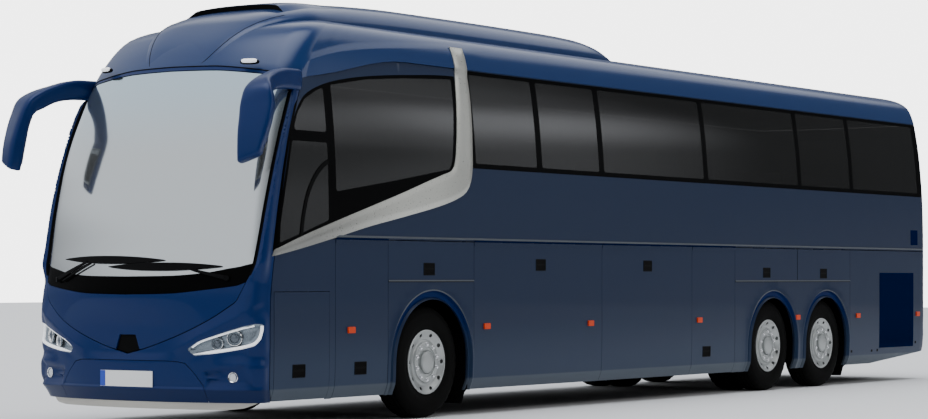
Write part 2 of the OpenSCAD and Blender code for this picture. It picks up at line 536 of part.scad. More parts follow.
// ---- axles and wheels ----
module front_axle() {
  color([0.12, 0.12, 0.13]) translate([front_x, 0, 0]) {
    block(-55, 55, -900, 900, 470, 560);
    both() {
      translate([0, pivot_y, 452]) cylinder(r = 55, h = 140);
      block(-55, 55, 850, pivot_y, 470, 560);
      // air spring
      translate([0, 340, 550]) cylinder(r = 70, h = 70);
    }
  }
}
module beam_axle(x, hub) {
  color([0.12, 0.12, 0.13]) translate([x, 0, 0]) {
    rod(0, -1080, 1080, tyre_r, 60);
    both() translate([0, 340, tyre_r]) cylinder(r = 70, h = 640 - tyre_r);
    if (hub) translate([0, 0, tyre_r]) sphere(r = 200);
  }
}
module drive_axle() { beam_axle(drive_x, true); }
module tag_axle() { beam_axle(tag_x, false); }
module knuckle() {
  color([0.14, 0.14, 0.15]) translate([front_x, 0, 0]) {
    translate([0, pivot_y, 400]) cylinder(r = 50, h = 46);
    translate([0, pivot_y, 598]) cylinder(r = 50, h = 46);
    block(-50, 50, pivot_y, pivot_y + 105, 400, 446);
    block(-50, 50, pivot_y, pivot_y + 105, 598, 644);
    block(-50, 50, pivot_y + 62, pivot_y + 105, 400, 644);
    rod(0, pivot_y + 90, 1180, tyre_r, 40);
  }
}
module left_knuckle() { knuckle(); }
module right_knuckle() { mirror([0, 1, 0]) knuckle(); }

// tyre about the y axis: t is half its width
module tyre_ring(x, y) {
  t = tyre_w / 2;
  translate([x, y, tyre_r]) rotate([90, 0, 0]) rotate_extrude()
    polygon([[rim_r, -t + 30], [rim_r + 24, -t + 14], [rim_r + 90, -t], [tyre_r - 70, -t + 6], [tyre_r - 22, -t + 22], [tyre_r - 4, -t + 50], [tyre_r, -t + 90],
      [tyre_r, t - 90], [tyre_r - 4, t - 50], [tyre_r - 22, t - 22], [tyre_r - 70, t - 6], [rim_r + 90, t], [rim_r + 24, t - 14], [rim_r, t - 30]]);
}
// rim about the y axis; d is the outer face of its disc measured from the tyre's middle plane
module rim_ring(x, y, d, bore, hub0, hub1) {
  t = tyre_w / 2;
  translate([x, y, tyre_r]) rotate([-90, 0, 0]) difference() {
    union() {
      rotate_extrude() polygon([[rim_r - 22, -t + 12], [rim_r + 16, -t + 8], [rim_r + 16, -t + 16], [rim_r - 1, -t + 27], [rim_r - 1, t - 27], [rim_r + 16, t - 16], [rim_r + 16, t - 8], [rim_r - 22, t - 12]]);
      rotate_extrude() polygon([[bore, d - 24], [170, d - 24], [rim_r - 30, d - 70], [rim_r - 4, d - 70], [rim_r - 4, d - 50], [rim_r - 26, d - 50], [180, d], [bore, d]]);
      translate([0, 0, hub0]) difference() { cylinder(r = 105, h = hub1 - hub0); translate([0, 0, -1]) cylinder(r = bore, h = hub1 - hub0 + 2); }
    }
    for (i = [0 : 9]) rotate([0, 0, i * 36 + 18]) translate([212, 0, d - 120]) cylinder(r = 26, h = 160);
  }
}
module cap_disc(x, y, r, h) { rod(x, y, y + h, tyre_r, r); }
module front_tyre() { color([0.03, 0.03, 0.03]) tyre_ring(front_x, wheel_y); }
module front_rim() {
  color([0.75, 0.76, 0.78]) { rim_ring(front_x, wheel_y, 112, 46, 20, 160); cap_disc(front_x, wheel_y + 152, 95, 14); }
}
module drive_tyres() { color([0.03, 0.03, 0.03]) { tyre_ring(drive_x, wheel_y); tyre_ring(drive_x, wheel_y - twin); } }
module drive_rims() {
  color([0.75, 0.76, 0.78]) {
    rim_ring(drive_x, wheel_y, -60, 66, -240, 60);
    rim_ring(drive_x, wheel_y - twin, 112, 66, 20, 140);
    cap_disc(drive_x, wheel_y + 52, 100, 60);
  }
}
module tag_tyre() { color([0.03, 0.03, 0.03]) tyre_ring(tag_x, wheel_y); }
module tag_rim() { color([0.75, 0.76, 0.78]) { rim_ring(tag_x, wheel_y, 112, 66, -60, 160); cap_disc(tag_x, wheel_y + 152, 95, 14); } }
module front_left_tyre() { front_tyre(); }
module front_left_rim() { front_rim(); }
module front_right_tyre() { mirror([0, 1, 0]) front_tyre(); }
module front_right_rim() { mirror([0, 1, 0]) front_rim(); }
module drive_left_tyres() { drive_tyres(); }
module drive_left_rims() { drive_rims(); }
module drive_right_tyres() { mirror([0, 1, 0]) drive_tyres(); }
module drive_right_rims() { mirror([0, 1, 0]) drive_rims(); }
module tag_left_tyre() { tag_tyre(); }
module tag_left_rim() { tag_rim(); }
module tag_right_tyre() { mirror([0, 1, 0]) tag_tyre(); }
module tag_right_rim() { mirror([0, 1, 0]) tag_rim(); }

// ---- doors ----
module left_front_hatch() { color([0.13, 0.20, 0.36]) flap([6531, 5771 + gap / 2], hatch_z, hatch_z + 8); }
module left_rear_hatch() { color([0.13, 0.20, 0.36]) flap(flap_b); }
module left_luggage_door_front() { color([0.13, 0.20, 0.36]) flap(flap_d); }
module left_luggage_door_rear() { color([0.13, 0.20, 0.36]) flap(flap_e); }
module left_locker_door() { color([0.13, 0.20, 0.36]) flap(flap_f); }
module right_luggage_door_front() { color([0.13, 0.20, 0.36]) mirror([0, 1, 0]) flap(flap_d); }
module right_luggage_door_rear() { color([0.13, 0.20, 0.36]) mirror([0, 1, 0]) flap([flap_e[0], mid_x1 + 2 * gap]); }

arm_y = 1130;
post1_x = door_x1 - 75;
post2_x = mid_x0 + 75;
arm_z = [620, 1380];
// swing arm and its turning post; d is the way the arm points
module swing_arm(x, d, z0, z1) {
  color([0.55, 0.56, 0.58]) {
    translate([x, arm_y, z0]) cylinder(r = 20, h = z1 - z0);
    for (z = arm_z) difference() {
      union() {
        block(min(x, x + d * arm_len), max(x, x + d * arm_len), arm_y - 14, arm_y + 14, z, z + 40);
        translate([x + d * arm_len, arm_y, z]) cylinder(r = 26, h = 40);
      }
      translate([x + d * arm_len, arm_y, z - 1]) cylinder(r = 15, h = 42);
    }
  }
}
// pins that the arms carry, with brackets back to the door
module door_pins(x) {
  for (z = arm_z) {
    translate([x, arm_y, z - 30]) cylinder(r = 10, h = 100);
    for (e = [-30, 50]) block(x - 20, x + 20, arm_y - 18, body_w / 2 - 30, z + e, z + e + 20);
  }
}
module entrance_door() {
  color([0.08, 0.17, 0.42]) mirror([0, 1, 0]) {
    difference() {
      intersection() { band(door_x0, 6560, door_z, door_top); cut(door_line(0)); }
      cut(door_win);
    }
    pane(door_win);
    door_pins(post1_x - arm_len);
  }
}
module entrance_arm() { mirror([0, 1, 0]) swing_arm(post1_x, -1, 420, 1500); }
module middle_door() {
  color([0.08, 0.17, 0.42]) mirror([0, 1, 0]) {
    difference() {
      band(mid_x0, mid_x1, door_z, door_top);
      cut(box_of(mid_x0 + 90, mid_x1 - 90, 1560, 2810));
    }
    band(mid_x0 + 90, mid_x1 - 90, 1560, 2810, 2, 2 + glass_t);
    door_pins(post2_x + arm_len);
  }
}
module middle_arm() { mirror([0, 1, 0]) swing_arm(post2_x, 1, 456, 1500); }

frame_rails();
wheel_housings();
luggage_floor();
bulkheads();
cabin_floor();
cab_platform();
middle_steps();
front_mask();
front_lip();
windscreen();
a_pillars();
roof();
roof_pod();
left_wall();
right_wall();
lower_panels();
windows();
rear_wall();
seats();
dashboard();
engine();
lamps();
mirrors();
wipers();
side_trim();
front_axle();
drive_axle();
tag_axle();
left_knuckle();
right_knuckle();
front_left_tyre();
front_left_rim();
front_right_tyre();
front_right_rim();
drive_left_tyres();
drive_left_rims();
drive_right_tyres();
drive_right_rims();
tag_left_tyre();
tag_left_rim();
tag_right_tyre();
tag_right_rim();
front_flap();
left_front_hatch();
left_rear_hatch();
left_luggage_door_front();
left_luggage_door_rear();
left_locker_door();
right_luggage_door_front();
right_luggage_door_rear();
entrance_door();
entrance_arm();
middle_door();
middle_arm();
engine_door();
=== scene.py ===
import math

import bmesh
import bpy
import numpy as np
from mathutils import Matrix, Vector
from mathutils.geometry import delaunay_2d_cdt


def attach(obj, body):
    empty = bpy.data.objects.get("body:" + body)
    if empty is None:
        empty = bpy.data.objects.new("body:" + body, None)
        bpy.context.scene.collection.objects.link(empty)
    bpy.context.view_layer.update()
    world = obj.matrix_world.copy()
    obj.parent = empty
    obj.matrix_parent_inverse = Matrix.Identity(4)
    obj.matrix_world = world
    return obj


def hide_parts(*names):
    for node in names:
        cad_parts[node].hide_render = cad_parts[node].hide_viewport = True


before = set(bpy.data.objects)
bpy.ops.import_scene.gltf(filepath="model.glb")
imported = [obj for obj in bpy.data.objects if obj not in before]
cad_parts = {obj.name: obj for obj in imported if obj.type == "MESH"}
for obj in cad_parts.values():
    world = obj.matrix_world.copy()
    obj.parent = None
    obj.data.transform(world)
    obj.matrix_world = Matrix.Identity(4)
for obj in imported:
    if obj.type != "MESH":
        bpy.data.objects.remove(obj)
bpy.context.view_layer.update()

# ------------------------------------------------------------------ curves and surfaces of the body (metres)


class Pchip:
    """Smooth curve through points, with no overshoot."""

    def __init__(s, pts):
        a = np.array(sorted(pts), float)
        s.x, s.y = a[:, 0], a[:, 1]
        h = np.diff(s.x)
        d = np.diff(s.y) / h
        m = np.zeros(len(s.x))
        m[0], m[-1] = d[0], d[-1]
        for i in range(1, len(s.x) - 1):
            if d[i - 1] * d[i] > 0:
                w1, w2 = 2 * h[i] + h[i - 1], h[i] + 2 * h[i - 1]
                m[i] = (w1 + w2) / (w1 / d[i - 1] + w2 / d[i])
        s.m = m

    def __call__(s, x):
        x = np.asarray(x, float)
        i = np.clip(np.searchsorted(s.x, x) - 1, 0, len(s.x) - 2)
        h = s.x[i + 1] - s.x[i]
        t = np.clip((x - s.x[i]) / h, 0, 1)
        return (
            (2 * t**3 - 3 * t**2 + 1) * s.y[i]
            + (t**3 - 2 * t**2 + t) * h * s.m[i]
            + (-2 * t**3 + 3 * t**2) * s.y[i + 1]
            + (t**3 - t**2) * h * s.m[i + 1]
        )


def mm(t):
    return [tuple(v / 1000 for v in r) for r in t]


HALF_LEN = 7.035
TAIL0 = -7.165
half = Pchip(
    [
        (z, 1.275 - i)
        for z, i in mm(
            [[170, 74], [200, 63], [240, 50], [340, 12.5], [352, 10], [365, 9], [520, 3], [800, 0], [1700, 0], [2000, 3], [2350, 13], [2600, 30], [2850, 53], [3100, 85], [3300, 120], [3420, 147], [3500, 177]]
        )
    ]
)
nose = Pchip(
    [
        (z, HALF_LEN - i)
        for z, i in mm(
            [[170, 112], [190, 105], [240, 82], [330, 22], [352, 10], [370, 6], [450, 1], [620, 0], [900, 0], [1150, 8], [1280, 25], [1420, 48], [1530, 68], [1850, 126], [2070, 176], [2260, 224], [2530, 314], [2700, 388], [2887, 478], [3070, 580], [3150, 628], [3200, 664], [3300, 745]]
        )
    ]
)
tail = Pchip([(z, TAIL0 + i) for z, i in mm([[300, 90], [420, 20], [600, 0], [1700, 0], [2400, 10], [3000, 28], [3300, 50]])])
KR, KC, QR, QC = 2.353, 0.235, 6.3, 0.157
FTH = math.asin((1 - KC) / (KR - KC))
RTH = math.asin((1 - QC) / (QR - QC))
FIN = KR - math.sqrt((KR - KC) ** 2 - (1 - KC) ** 2)
RIN = QR - math.sqrt((QR - QC) ** 2 - (1 - QC) ** 2)
UJ, US = 1.87, 1.5


def bow(xn, w, u, kr, kc, th, d):
    """Plan curve of the nose or tail: u 0 is the middle, 1 where the corner starts, 2 where it meets the side."""
    u = np.asarray(u, float)
    a = np.minimum(np.abs(u), 2)
    ex = np.maximum(np.abs(u) - 2, 0)
    t = np.where(a <= 1, a * th, th + (np.pi / 2 - th) * (a - 1))
    s = math.sqrt((kr - kc) ** 2 - (1 - kc) ** 2)
    x = np.where(a <= 1, xn - d * kr * w * (1 - np.cos(t)), xn - d * (kr * w - s * w - kc * w * np.cos(t))) - d * ex * 0.5
    y = np.where(a <= 1, kr * w * np.sin(t), w * (1 - kc + kc * np.sin(t)))
    return x, np.sign(u) * y


def stack(*a):
    return np.stack(np.broadcast_arrays(*a), -1).astype(float)


def front(u, z, o=0.0):
    z = np.asarray(z, float)
    x, y = bow(nose(z) - o, half(z) - o, u, KR, KC, FTH, 1)
    return stack(x, y, z)


def rear(u, z, o=0.0):
    z = np.asarray(z, float)
    x, y = bow(tail(z) + o, half(z) - o, u, QR, QC, RTH, -1)
    return stack(x, y, z)


def side(x, z, o=0.0, s=1):
    x, z = np.asarray(x, float), np.asarray(z, float)
    w = half(z) - o
    xf, rc = nose(z) - o - FIN * w, KC * w
    dx = np.clip(x - xf, 0, rc * 0.98)
    xr, rr = tail(z) + o + RIN * w, QC * w
    dr = np.clip(xr - x, 0, rr * 0.98)
    y = w - rc + np.sqrt(rc**2 - dx**2) - rr + np.sqrt(rr**2 - dr**2)
    return stack(x, s * y, z)


def joint_x(z):
    return front(UJ, z)[..., 0]


def smooth(a, b, t):
    t = np.clip((np.asarray(t, float) - a) / (b - a), 0, 1)
    return t * t * (3 - 2 * t)


def screen_z0(u):
    return 1.185 + 0.095 * (np.minimum(np.abs(u), US) / 1.2) ** 2 - 0.02


def screen_z1(u):
    return 3.150 - 0.058 * np.minimum(np.abs(u), US) ** 2


def roof_side(x):
    return 3.300 - 0.230 * smooth(4.5, 6.15, x)


# ------------------------------------------------------------------ materials


def mat(name, base, metallic=0.0, rough=0.4, coat=0.0, spec=0.5, noise=0.0, scale=8.0, bump=0.0, emit=0.0, alpha=1.0, trans=0.0, ior=1.45, tint=None):
    m = bpy.data.materials.new(name)
    m.use_nodes = True
    nt = m.node_tree
    b = nt.nodes["Principled BSDF"]
    b.inputs["Base Color"].default_value = (*base, 1)
    b.inputs["Metallic"].default_value = metallic
    b.inputs["Roughness"].default_value = rough
    b.inputs["IOR"].default_value = ior
    b.inputs["Specular IOR Level"].default_value = spec
    b.inputs["Coat Weight"].default_value = coat
    b.inputs["Coat Roughness"].default_value = 0.04
    b.inputs["Alpha"].default_value = alpha
    b.inputs["Transmission Weight"].default_value = trans
    if emit:
        b.inputs["Emission Color"].default_value = (*base, 1)
        b.inputs["Emission Strength"].default_value = emit
    co = nt.nodes.new("ShaderNodeTexCoord")
    n = nt.nodes.new("ShaderNodeTexNoise")
    n.inputs["Scale"].default_value = scale
    n.inputs["Detail"].default_value = 4
    nt.links.new(co.outputs["Object"], n.inputs["Vector"])
    r = nt.nodes.new("ShaderNodeMapRange")
    r.inputs["To Min"].default_value = max(0.0, rough - noise)
    r.inputs["To Max"].default_value = min(1.0, rough + noise)
    nt.links.new(n.outputs["Fac"], r.inputs["Value"])
    nt.links.new(r.outputs["Result"], b.inputs["Roughness"])
    if tint:
        mix = nt.nodes.new("ShaderNodeMix")
        mix.data_type = "RGBA"
        mix.inputs["A"].default_value = (*base, 1)
        mix.inputs["B"].default_value = (*tint, 1)
        nt.links.new(n.outputs["Fac"], mix.inputs["Factor"])
        nt.links.new(mix.outputs["Result"], b.inputs["Base Color"])
    if bump:
        bp = nt.nodes.new("ShaderNodeBump")
        bp.inputs["Strength"].default_value = bump
        bp.inputs["Distance"].default_value = 0.002
        nt.links.new(n.outputs["Fac"], bp.inputs["Height"])
        nt.links.new(bp.outputs["Normal"], b.inputs["Normal"])
    return m


BLUE = mat("paint_blue", (0.0012, 0.0165, 0.086), metallic=0.10, rough=0.38, coat=0.10, spec=0.16, noise=0.03, scale=3)
# painted sheen: the flanks' copy of the blue paint is greyer, as the sheen on a side seen at a slant
FLANK_SHEEN_BLUE = mat("paint_flank_sheen", (0.0073, 0.0170, 0.047), metallic=0.10, rough=0.40, coat=0.08, spec=0.16, noise=0.03, scale=3)
# painted light: the roof's copy of the blue paint is lighter, as where it faces the bright sky
ROOF_LIT_BLUE = mat("paint_roof_lit", (0.0042, 0.0262, 0.103), metallic=0.08, rough=0.42, coat=0.45, spec=0.10, noise=0.03, scale=3)
# painted shade: a darker copy of the blue paint for the hollows round the arches
ARCH = mat("paint_arch_shade", (0.0010, 0.0135, 0.082), metallic=0.05, rough=0.5, spec=0.06, noise=0.03, scale=3)


def along(m, axis, top, steps):
    """Base colour that changes along an axis: each step (a0, a1, colour) lies below a0 and blends up to a1."""
    nt = m.node_tree
    xyz = nt.nodes.new("ShaderNodeSeparateXYZ")
    nt.links.new(next(n for n in nt.nodes if n.type == "TEX_COORD").outputs["Object"], xyz.inputs[0])
    last = None
    for z0, z1, c in steps:
        low, mix = nt.nodes.new("ShaderNodeMapRange"), nt.nodes.new("ShaderNodeMix")
        low.interpolation_type = "SMOOTHSTEP"
        low.inputs["From Min"].default_value, low.inputs["From Max"].default_value = z0, z1
        mix.data_type = "RGBA"
        mix.inputs["A"].default_value = (*c, 1)
        mix.inputs["B"].default_value = (*top, 1)
        nt.links.new(xyz.outputs[axis], low.inputs["Value"])
        nt.links.new(low.outputs["Result"], mix.inputs["Factor"])
        if last:
            nt.links.new(last, mix.inputs["B"])
        last = mix.outputs["Result"]
    nt.links.new(last, nt.nodes["Principled BSDF"].inputs["Base Color"])


# painted reflection: the flank is painted a little paler towards the sill, as the pale floor would light it, and the
# folded sill is painted paler still as painted light
SILL_PAINTED_LIGHT = (0.342, 0.360, (0.064, 0.083, 0.110))
along(FLANK_SHEEN_BLUE, "Z", (0.0073, 0.0170, 0.047), [(0.36, 1.00, (0.022, 0.037, 0.074)), SILL_PAINTED_LIGHT])
# painted shade: the hollow of each arch is a deeper, darker blue at its crown, and painted light makes it paler lower
# down and at the sill
along(ARCH, "Z", (0.0010, 0.0135, 0.082), [(0.60, 0.98, (0.018, 0.034, 0.072)), SILL_PAINTED_LIGHT])
# painted highlight: a light grey for the mouldings and beads, standing in for the light along their edges
RAIL_HIGHLIGHT = mat("rail_painted_highlight", (0.075, 0.085, 0.100), metallic=0.2, rough=0.45, spec=0.3, noise=0.04, scale=20)
GRILLE = mat("paint_grille", (0.0003, 0.0062, 0.038), rough=0.7, spec=0.0, noise=0.04, scale=20)
BLACK = mat("gloss_black", (0.0008, 0.0008, 0.0009), rough=0.25, spec=0.03, noise=0.02)
GASKET = mat("gasket_rubber", (0.0015, 0.0015, 0.0015), rough=0.62, spec=0.06, noise=0.05, scale=40)
MATT = mat("matt_black", (0.0022, 0.0022, 0.0025), rough=0.6, spec=0.08, noise=0.06, scale=30)
GLASS = mat("side_glass", (0.0065, 0.0067, 0.0064), rough=0.055, spec=0.45, noise=0.01, alpha=0.90)
SCREEN = mat("windscreen_glass", (0.455, 0.48, 0.495), metallic=0.93, rough=0.09, spec=0.3, noise=0.02, scale=2)
CREAM = mat("cream_lip", (0.52, 0.50, 0.45), rough=0.4, noise=0.05)
SILVER = mat("brushed_silver", (0.40, 0.40, 0.365), metallic=0.50, rough=0.29, noise=0.05, scale=60)
# painted shade: the chin below its crease is painted a darker blue; painted reflection: the glass is painted bluer at
# its top, as a bluer sky would show in it
BUMPER_CHIN_SHADE = mat("paint_bumper_chin_shade", (0.0012, 0.0165, 0.086), metallic=0.10, rough=0.38, coat=0.10, spec=0.16, noise=0.03, scale=3)
along(BUMPER_CHIN_SHADE, "Z", (0.0012, 0.0165, 0.086), [(0.349, 0.361, (0.0009, 0.0120, 0.062))])
# painted reflection: the windscreen is painted bluer towards its top, as the sky it would mirror
along(SCREEN, "Z", (0.455, 0.560, 0.620), [(2.30, 3.15, (0.500, 0.525, 0.530))])
# painted highlight and painted shade: the blade is painted brightest around x 4.2 to 4.5, darker towards its tip and a
# little darker where it rises to the roof
along(SILVER, "X", (0.215, 0.215, 0.200), [(4.5, 6.1, (0.50, 0.50, 0.455)), (3.65, 4.2, (0.40, 0.40, 0.365))])
CHROME = mat("chrome", (0.70, 0.71, 0.72), metallic=1.0, rough=0.12, noise=0.04, scale=20)
ALLOY = mat("polished_alloy", (0.40, 0.415, 0.41), metallic=0.65, rough=0.36, noise=0.05, scale=30)
LENS = mat("lamp_lens", (0.62, 0.66, 0.70), rough=0.06, coat=0.5, noise=0.02)
LED = mat("lamp_led", (0.95, 0.97, 1.0), rough=0.25, emit=0.55, noise=0.02)
BOWL = mat("lamp_bowl", (0.20, 0.235, 0.27), metallic=0.75, rough=0.28, noise=0.04, scale=25)
BULB = mat("lamp_projector", (0.085, 0.105, 0.13), metallic=0.3, rough=0.08, spec=0.8, noise=0.02)
ORANGE = mat("marker_orange", (0.60, 0.048, 0.006), rough=0.35, spec=0.2, noise=0.03)
RED = mat("tail_red", (0.42, 0.008, 0.010), rough=0.12, coat=0.6, noise=0.02)
AMBER = mat("tail_amber", (0.72, 0.22, 0.01), rough=0.12, coat=0.6, noise=0.02)
PLATE = mat("plate_white", (0.80, 0.81, 0.80), rough=0.35, noise=0.03)
PLATE_B = mat("plate_band", (0.02, 0.06, 0.42), rough=0.35, noise=0.03)
RUBBER = mat("tyre_rubber", (0.0020, 0.0020, 0.0018), rough=0.8, spec=0.10, noise=0.08, scale=50, bump=0.15)
FRAME = mat("frame_black", (0.0025, 0.0025, 0.003), rough=0.6, spec=0.08, noise=0.1, scale=12)
AXLE = mat("axle_black", (0.010, 0.010, 0.0105), metallic=0.2, rough=0.5, spec=0.3, noise=0.1, scale=15, bump=0.1)
IRON = mat("engine_iron", (0.07, 0.07, 0.075), metallic=0.5, rough=0.5, noise=0.12, scale=10, bump=0.2)
FLOOR = mat("cabin_floor", (0.045, 0.045, 0.05), rough=0.75, noise=0.08, scale=40)
CLOTH = mat("seat_cloth", (0.035, 0.045, 0.085), rough=0.9, noise=0.06, scale=180, bump=0.3, tint=(0.05, 0.06, 0.10))
DASH = mat("dash_plastic", (0.022, 0.022, 0.024), rough=0.65, noise=0.06, scale=80, bump=0.1)
STEEL = mat("arm_steel", (0.36, 0.36, 0.38), metallic=0.9, rough=0.3, noise=0.06, scale=25)
MIRROR = mat("mirror_glass", (0.16, 0.17, 0.18), metallic=1.0, rough=0.03, noise=0.01)
NODE_MAT = {
    "frame_rails": FRAME, "wheel_housings": FRAME, "luggage_floor": FRAME, "bulkheads": FRAME,
    "cabin_floor": FLOOR, "cab_platform": FLOOR, "middle_steps": FLOOR, "engine": IRON, "front_axle": AXLE, "drive_axle": AXLE, "tag_axle": AXLE,
    "left_knuckle": AXLE, "right_knuckle": AXLE, "entrance_arm": STEEL, "middle_arm": STEEL,
    "dashboard": DASH, "seats": CLOTH, "lamps": LENS, "mirrors": BLUE, "wipers": MATT, "side_trim": SILVER, "windows": GLASS,
    "windscreen": SCREEN, "front_lip": CREAM, "roof": ROOF_LIT_BLUE, "roof_pod": ROOF_LIT_BLUE,
}
for _n, _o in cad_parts.items():
    m_ = NODE_MAT.get(_n) or (RUBBER if "tyre" in _n else ALLOY if "rim" in _n else BLUE)
    _o.data.materials.clear()
    _o.data.materials.append(m_)

# ------------------------------------------------------------------ mesh helpers


def add(name, V, F, m, body="coach", sharp=35.0, flip=False):
    me = bpy.data.meshes.new(name)
    V = np.asarray(V, float)
    F = [tuple(reversed(f)) if flip else tuple(f) for f in F]
    me.from_pydata(V.tolist(), [], [tuple(int(i) for i in f) for f in F])
    me.validate()
    me.materials.append(m)
    o = bpy.data.objects.new(name, me)
    bpy.context.scene.collection.objects.link(o)
    me.polygons.foreach_set("use_smooth", [True] * len(me.polygons))
    me.set_sharp_from_angle(angle=math.radians(sharp))
    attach(o, body)
    return o


def inside(P, loop):
    """Which points lie in a closed loop."""
    x, y = P[:, 0], P[:, 1]
    L = np.asarray(loop, float)
    r = np.zeros(len(P), bool)
    for (x0, y0), (x1, y1) in zip(L, np.roll(L, -1, 0)):
        c = (y0 > y) != (y1 > y)
        if y1 != y0:
            r ^= c & (x < (x1 - x0) * (y - y0) / (y1 - y0) + x0)
    return r


def near(P, loop, sa, sb):
    """Distance of points from a closed loop, with the two directions scaled to metres."""
    L = np.asarray(loop, float) * (sa, sb)
    Q = P * (sa, sb)
    d = np.full(len(P), 1e9)
    for a, b in zip(L, np.roll(L, -1, 0)):
        ab = b - a
        l2 = max(ab @ ab, 1e-12)
        t = np.clip(((Q - a) @ ab) / l2, 0, 1)
        d = np.minimum(d, np.linalg.norm(Q - a - t[:, None] * ab, axis=1))
    return d


def dense(loop, step, sa=1.0, sb=1.0):
    out = []
    L = [tuple(map(float, p)) for p in loop]
    for a, b in zip(L, L[1:] + L[:1]):
        n = max(1, int(math.ceil(math.hypot((b[0] - a[0]) * sa, (b[1] - a[1]) * sb) / step)))
        out += [(a[0] + (b[0] - a[0]) * i / n, a[1] + (b[1] - a[1]) * i / n) for i in range(n)]
    return out


def rounded(loop, r, n=5, sa=1.0, sb=1.0):
    """Loop with its corners rounded; r is one radius or one for each corner."""
    L = [np.array(p, float) * (sa, sb) for p in loop]
    R = r if hasattr(r, "__len__") else [r] * len(L)
    out = []
    for i, p in enumerate(L):
        a, b = L[i - 1] - p, L[(i + 1) % len(L)] - p
        la, lb = np.linalg.norm(a), np.linalg.norm(b)
        a, b = a / la, b / lb
        cosang = np.clip(a @ b, -0.9999, 0.9999)
        half_a = math.acos(cosang) / 2
        t = min(R[i] / math.tan(half_a), 0.48 * la, 0.48 * lb) if R[i] > 0 else 0
        if t < 1e-6 or half_a > 1.5:
            out.append(tuple(p / (sa, sb)))
            continue
        p0, p1 = p + a * t, p + b * t
        for k in range(n + 1):
            s = k / n
            q = (1 - s) ** 2 * p0 + 2 * s * (1 - s) * p + s * s * p1
            out.append(tuple(q / (sa, sb)))
    return out


def box_loop(a0, a1, b0, b1):
    return [(a0, b0), (a1, b0), (a1, b1), (a0, b1)]


def region(outer, holes=(), grid=((), ()), step=0.04, sa=1.0, sb=1.0, extra=()):
    """Triangles filling a region in two parameters."""
    loops = [dense(outer, step, sa, sb)] + [dense(h, step, sa, sb) for h in holes]
    ga, gb = np.meshgrid(np.asarray(grid[0], float), np.asarray(grid[1], float))
    P = np.stack([ga.ravel(), gb.ravel()], -1) if ga.size else np.zeros((0, 2))
    if len(extra):
        P = np.concatenate([P, np.asarray(extra, float)])
    if len(P):
        ok = inside(P, loops[0])
        for h in loops[1:]:
            ok &= ~inside(P, h)
        P = P[ok]
        for h in loops:
            if len(P):
                P = P[near(P, h, sa, sb) > 0.3 * step]
    verts, edges = [], []
    for h in loops:
        n0 = len(verts)
        verts += [Vector(p) for p in h]
        edges += [(n0 + i, n0 + (i + 1) % len(h)) for i in range(len(h))]
    verts += [Vector(p) for p in P]
    v, e, f, *_ = delaunay_2d_cdt([Vector((p[0] * sa, p[1] * sb)) for p in verts], edges, [], 0, 1e-6)
    v = np.array([(p[0] / sa, p[1] / sb) for p in v])
    f = np.array([tuple(t) for t in f])
    c = v[f].mean(1)
    ok = inside(c, loops[0])
    for h in loops[1:]:
        ok &= ~inside(c, h)
    f = f[ok]
    used = np.unique(f)
    back = np.full(len(v), -1)
    back[used] = np.arange(len(used))
    return v[used], [tuple(int(k) for k in t) for t in back[f]]


def panel(name, outer, fn, m, t=0.02, holes=(), grid=((), ()), step=0.04, sa=1.0, sb=1.0, body="coach", o=0.0, flip=False, extra=(), sharp=35.0):
    """A sheet of thickness t on the surface fn(a, b, depth), with holes."""
    v, f = region(outer, holes, grid, step, sa, sb, extra)
    A = fn(v[:, 0], v[:, 1], o)
    B = fn(v[:, 0], v[:, 1], o + t)
    n = len(v)
    # faces wound so that they look outwards
    a, b, c = (A[[q[k] for q in f]] for k in range(3))
    nrm = np.cross(b - a, c - a)
    out = (A - B)[[q[0] for q in f]]
    if (nrm * out).sum() < 0:
        f = [tuple(reversed(q)) for q in f]
    F = list(f) + [tuple(n + i for i in reversed(q)) for q in f]
    seen = {}
    for q in f:
        for i, j in zip(q, q[1:] + q[:1]):
            seen[(i, j)] = True
    for i, j in seen:
        if (j, i) not in seen:
            F.append((j, i, n + i, n + j))
    return add(name, np.concatenate([A, B]), F, m, body, sharp)


def strip(name, pts, w, h, m, body="coach", up=(0, 0, 1), closed=False, taper=None):
    """A bar of width w and height h along points."""
    P = np.asarray(pts, float)
    n = len(P)
    T = np.gradient(P, axis=0)
    T /= np.linalg.norm(T, axis=1)[:, None]
    U = np.asarray(up, float)
    if U.ndim == 1:
        U = np.tile(U, (n, 1))
    S = np.cross(T, U)
    S /= np.linalg.norm(S, axis=1)[:, None]
    N = np.cross(S, T)
    k = np.ones(n) if taper is None else np.asarray(taper, float)
    V, F = [], []
    for i in range(n):
        for a, b in ((-1, -1), (1, -1), (1, 1), (-1, 1)):
            V.append(P[i] + S[i] * a * w / 2 * k[i] + N[i] * b * h / 2 * k[i])
    for i in range(n - 1):
        for j in range(4):
            a, b = i * 4 + j, i * 4 + (j + 1) % 4
            F.append((a, a + 4, b + 4, b))
    F += [(0, 1, 2, 3), (4 * n - 1, 4 * n - 2, 4 * n - 3, 4 * n - 4)]
    return add(name, V, F, m, body)


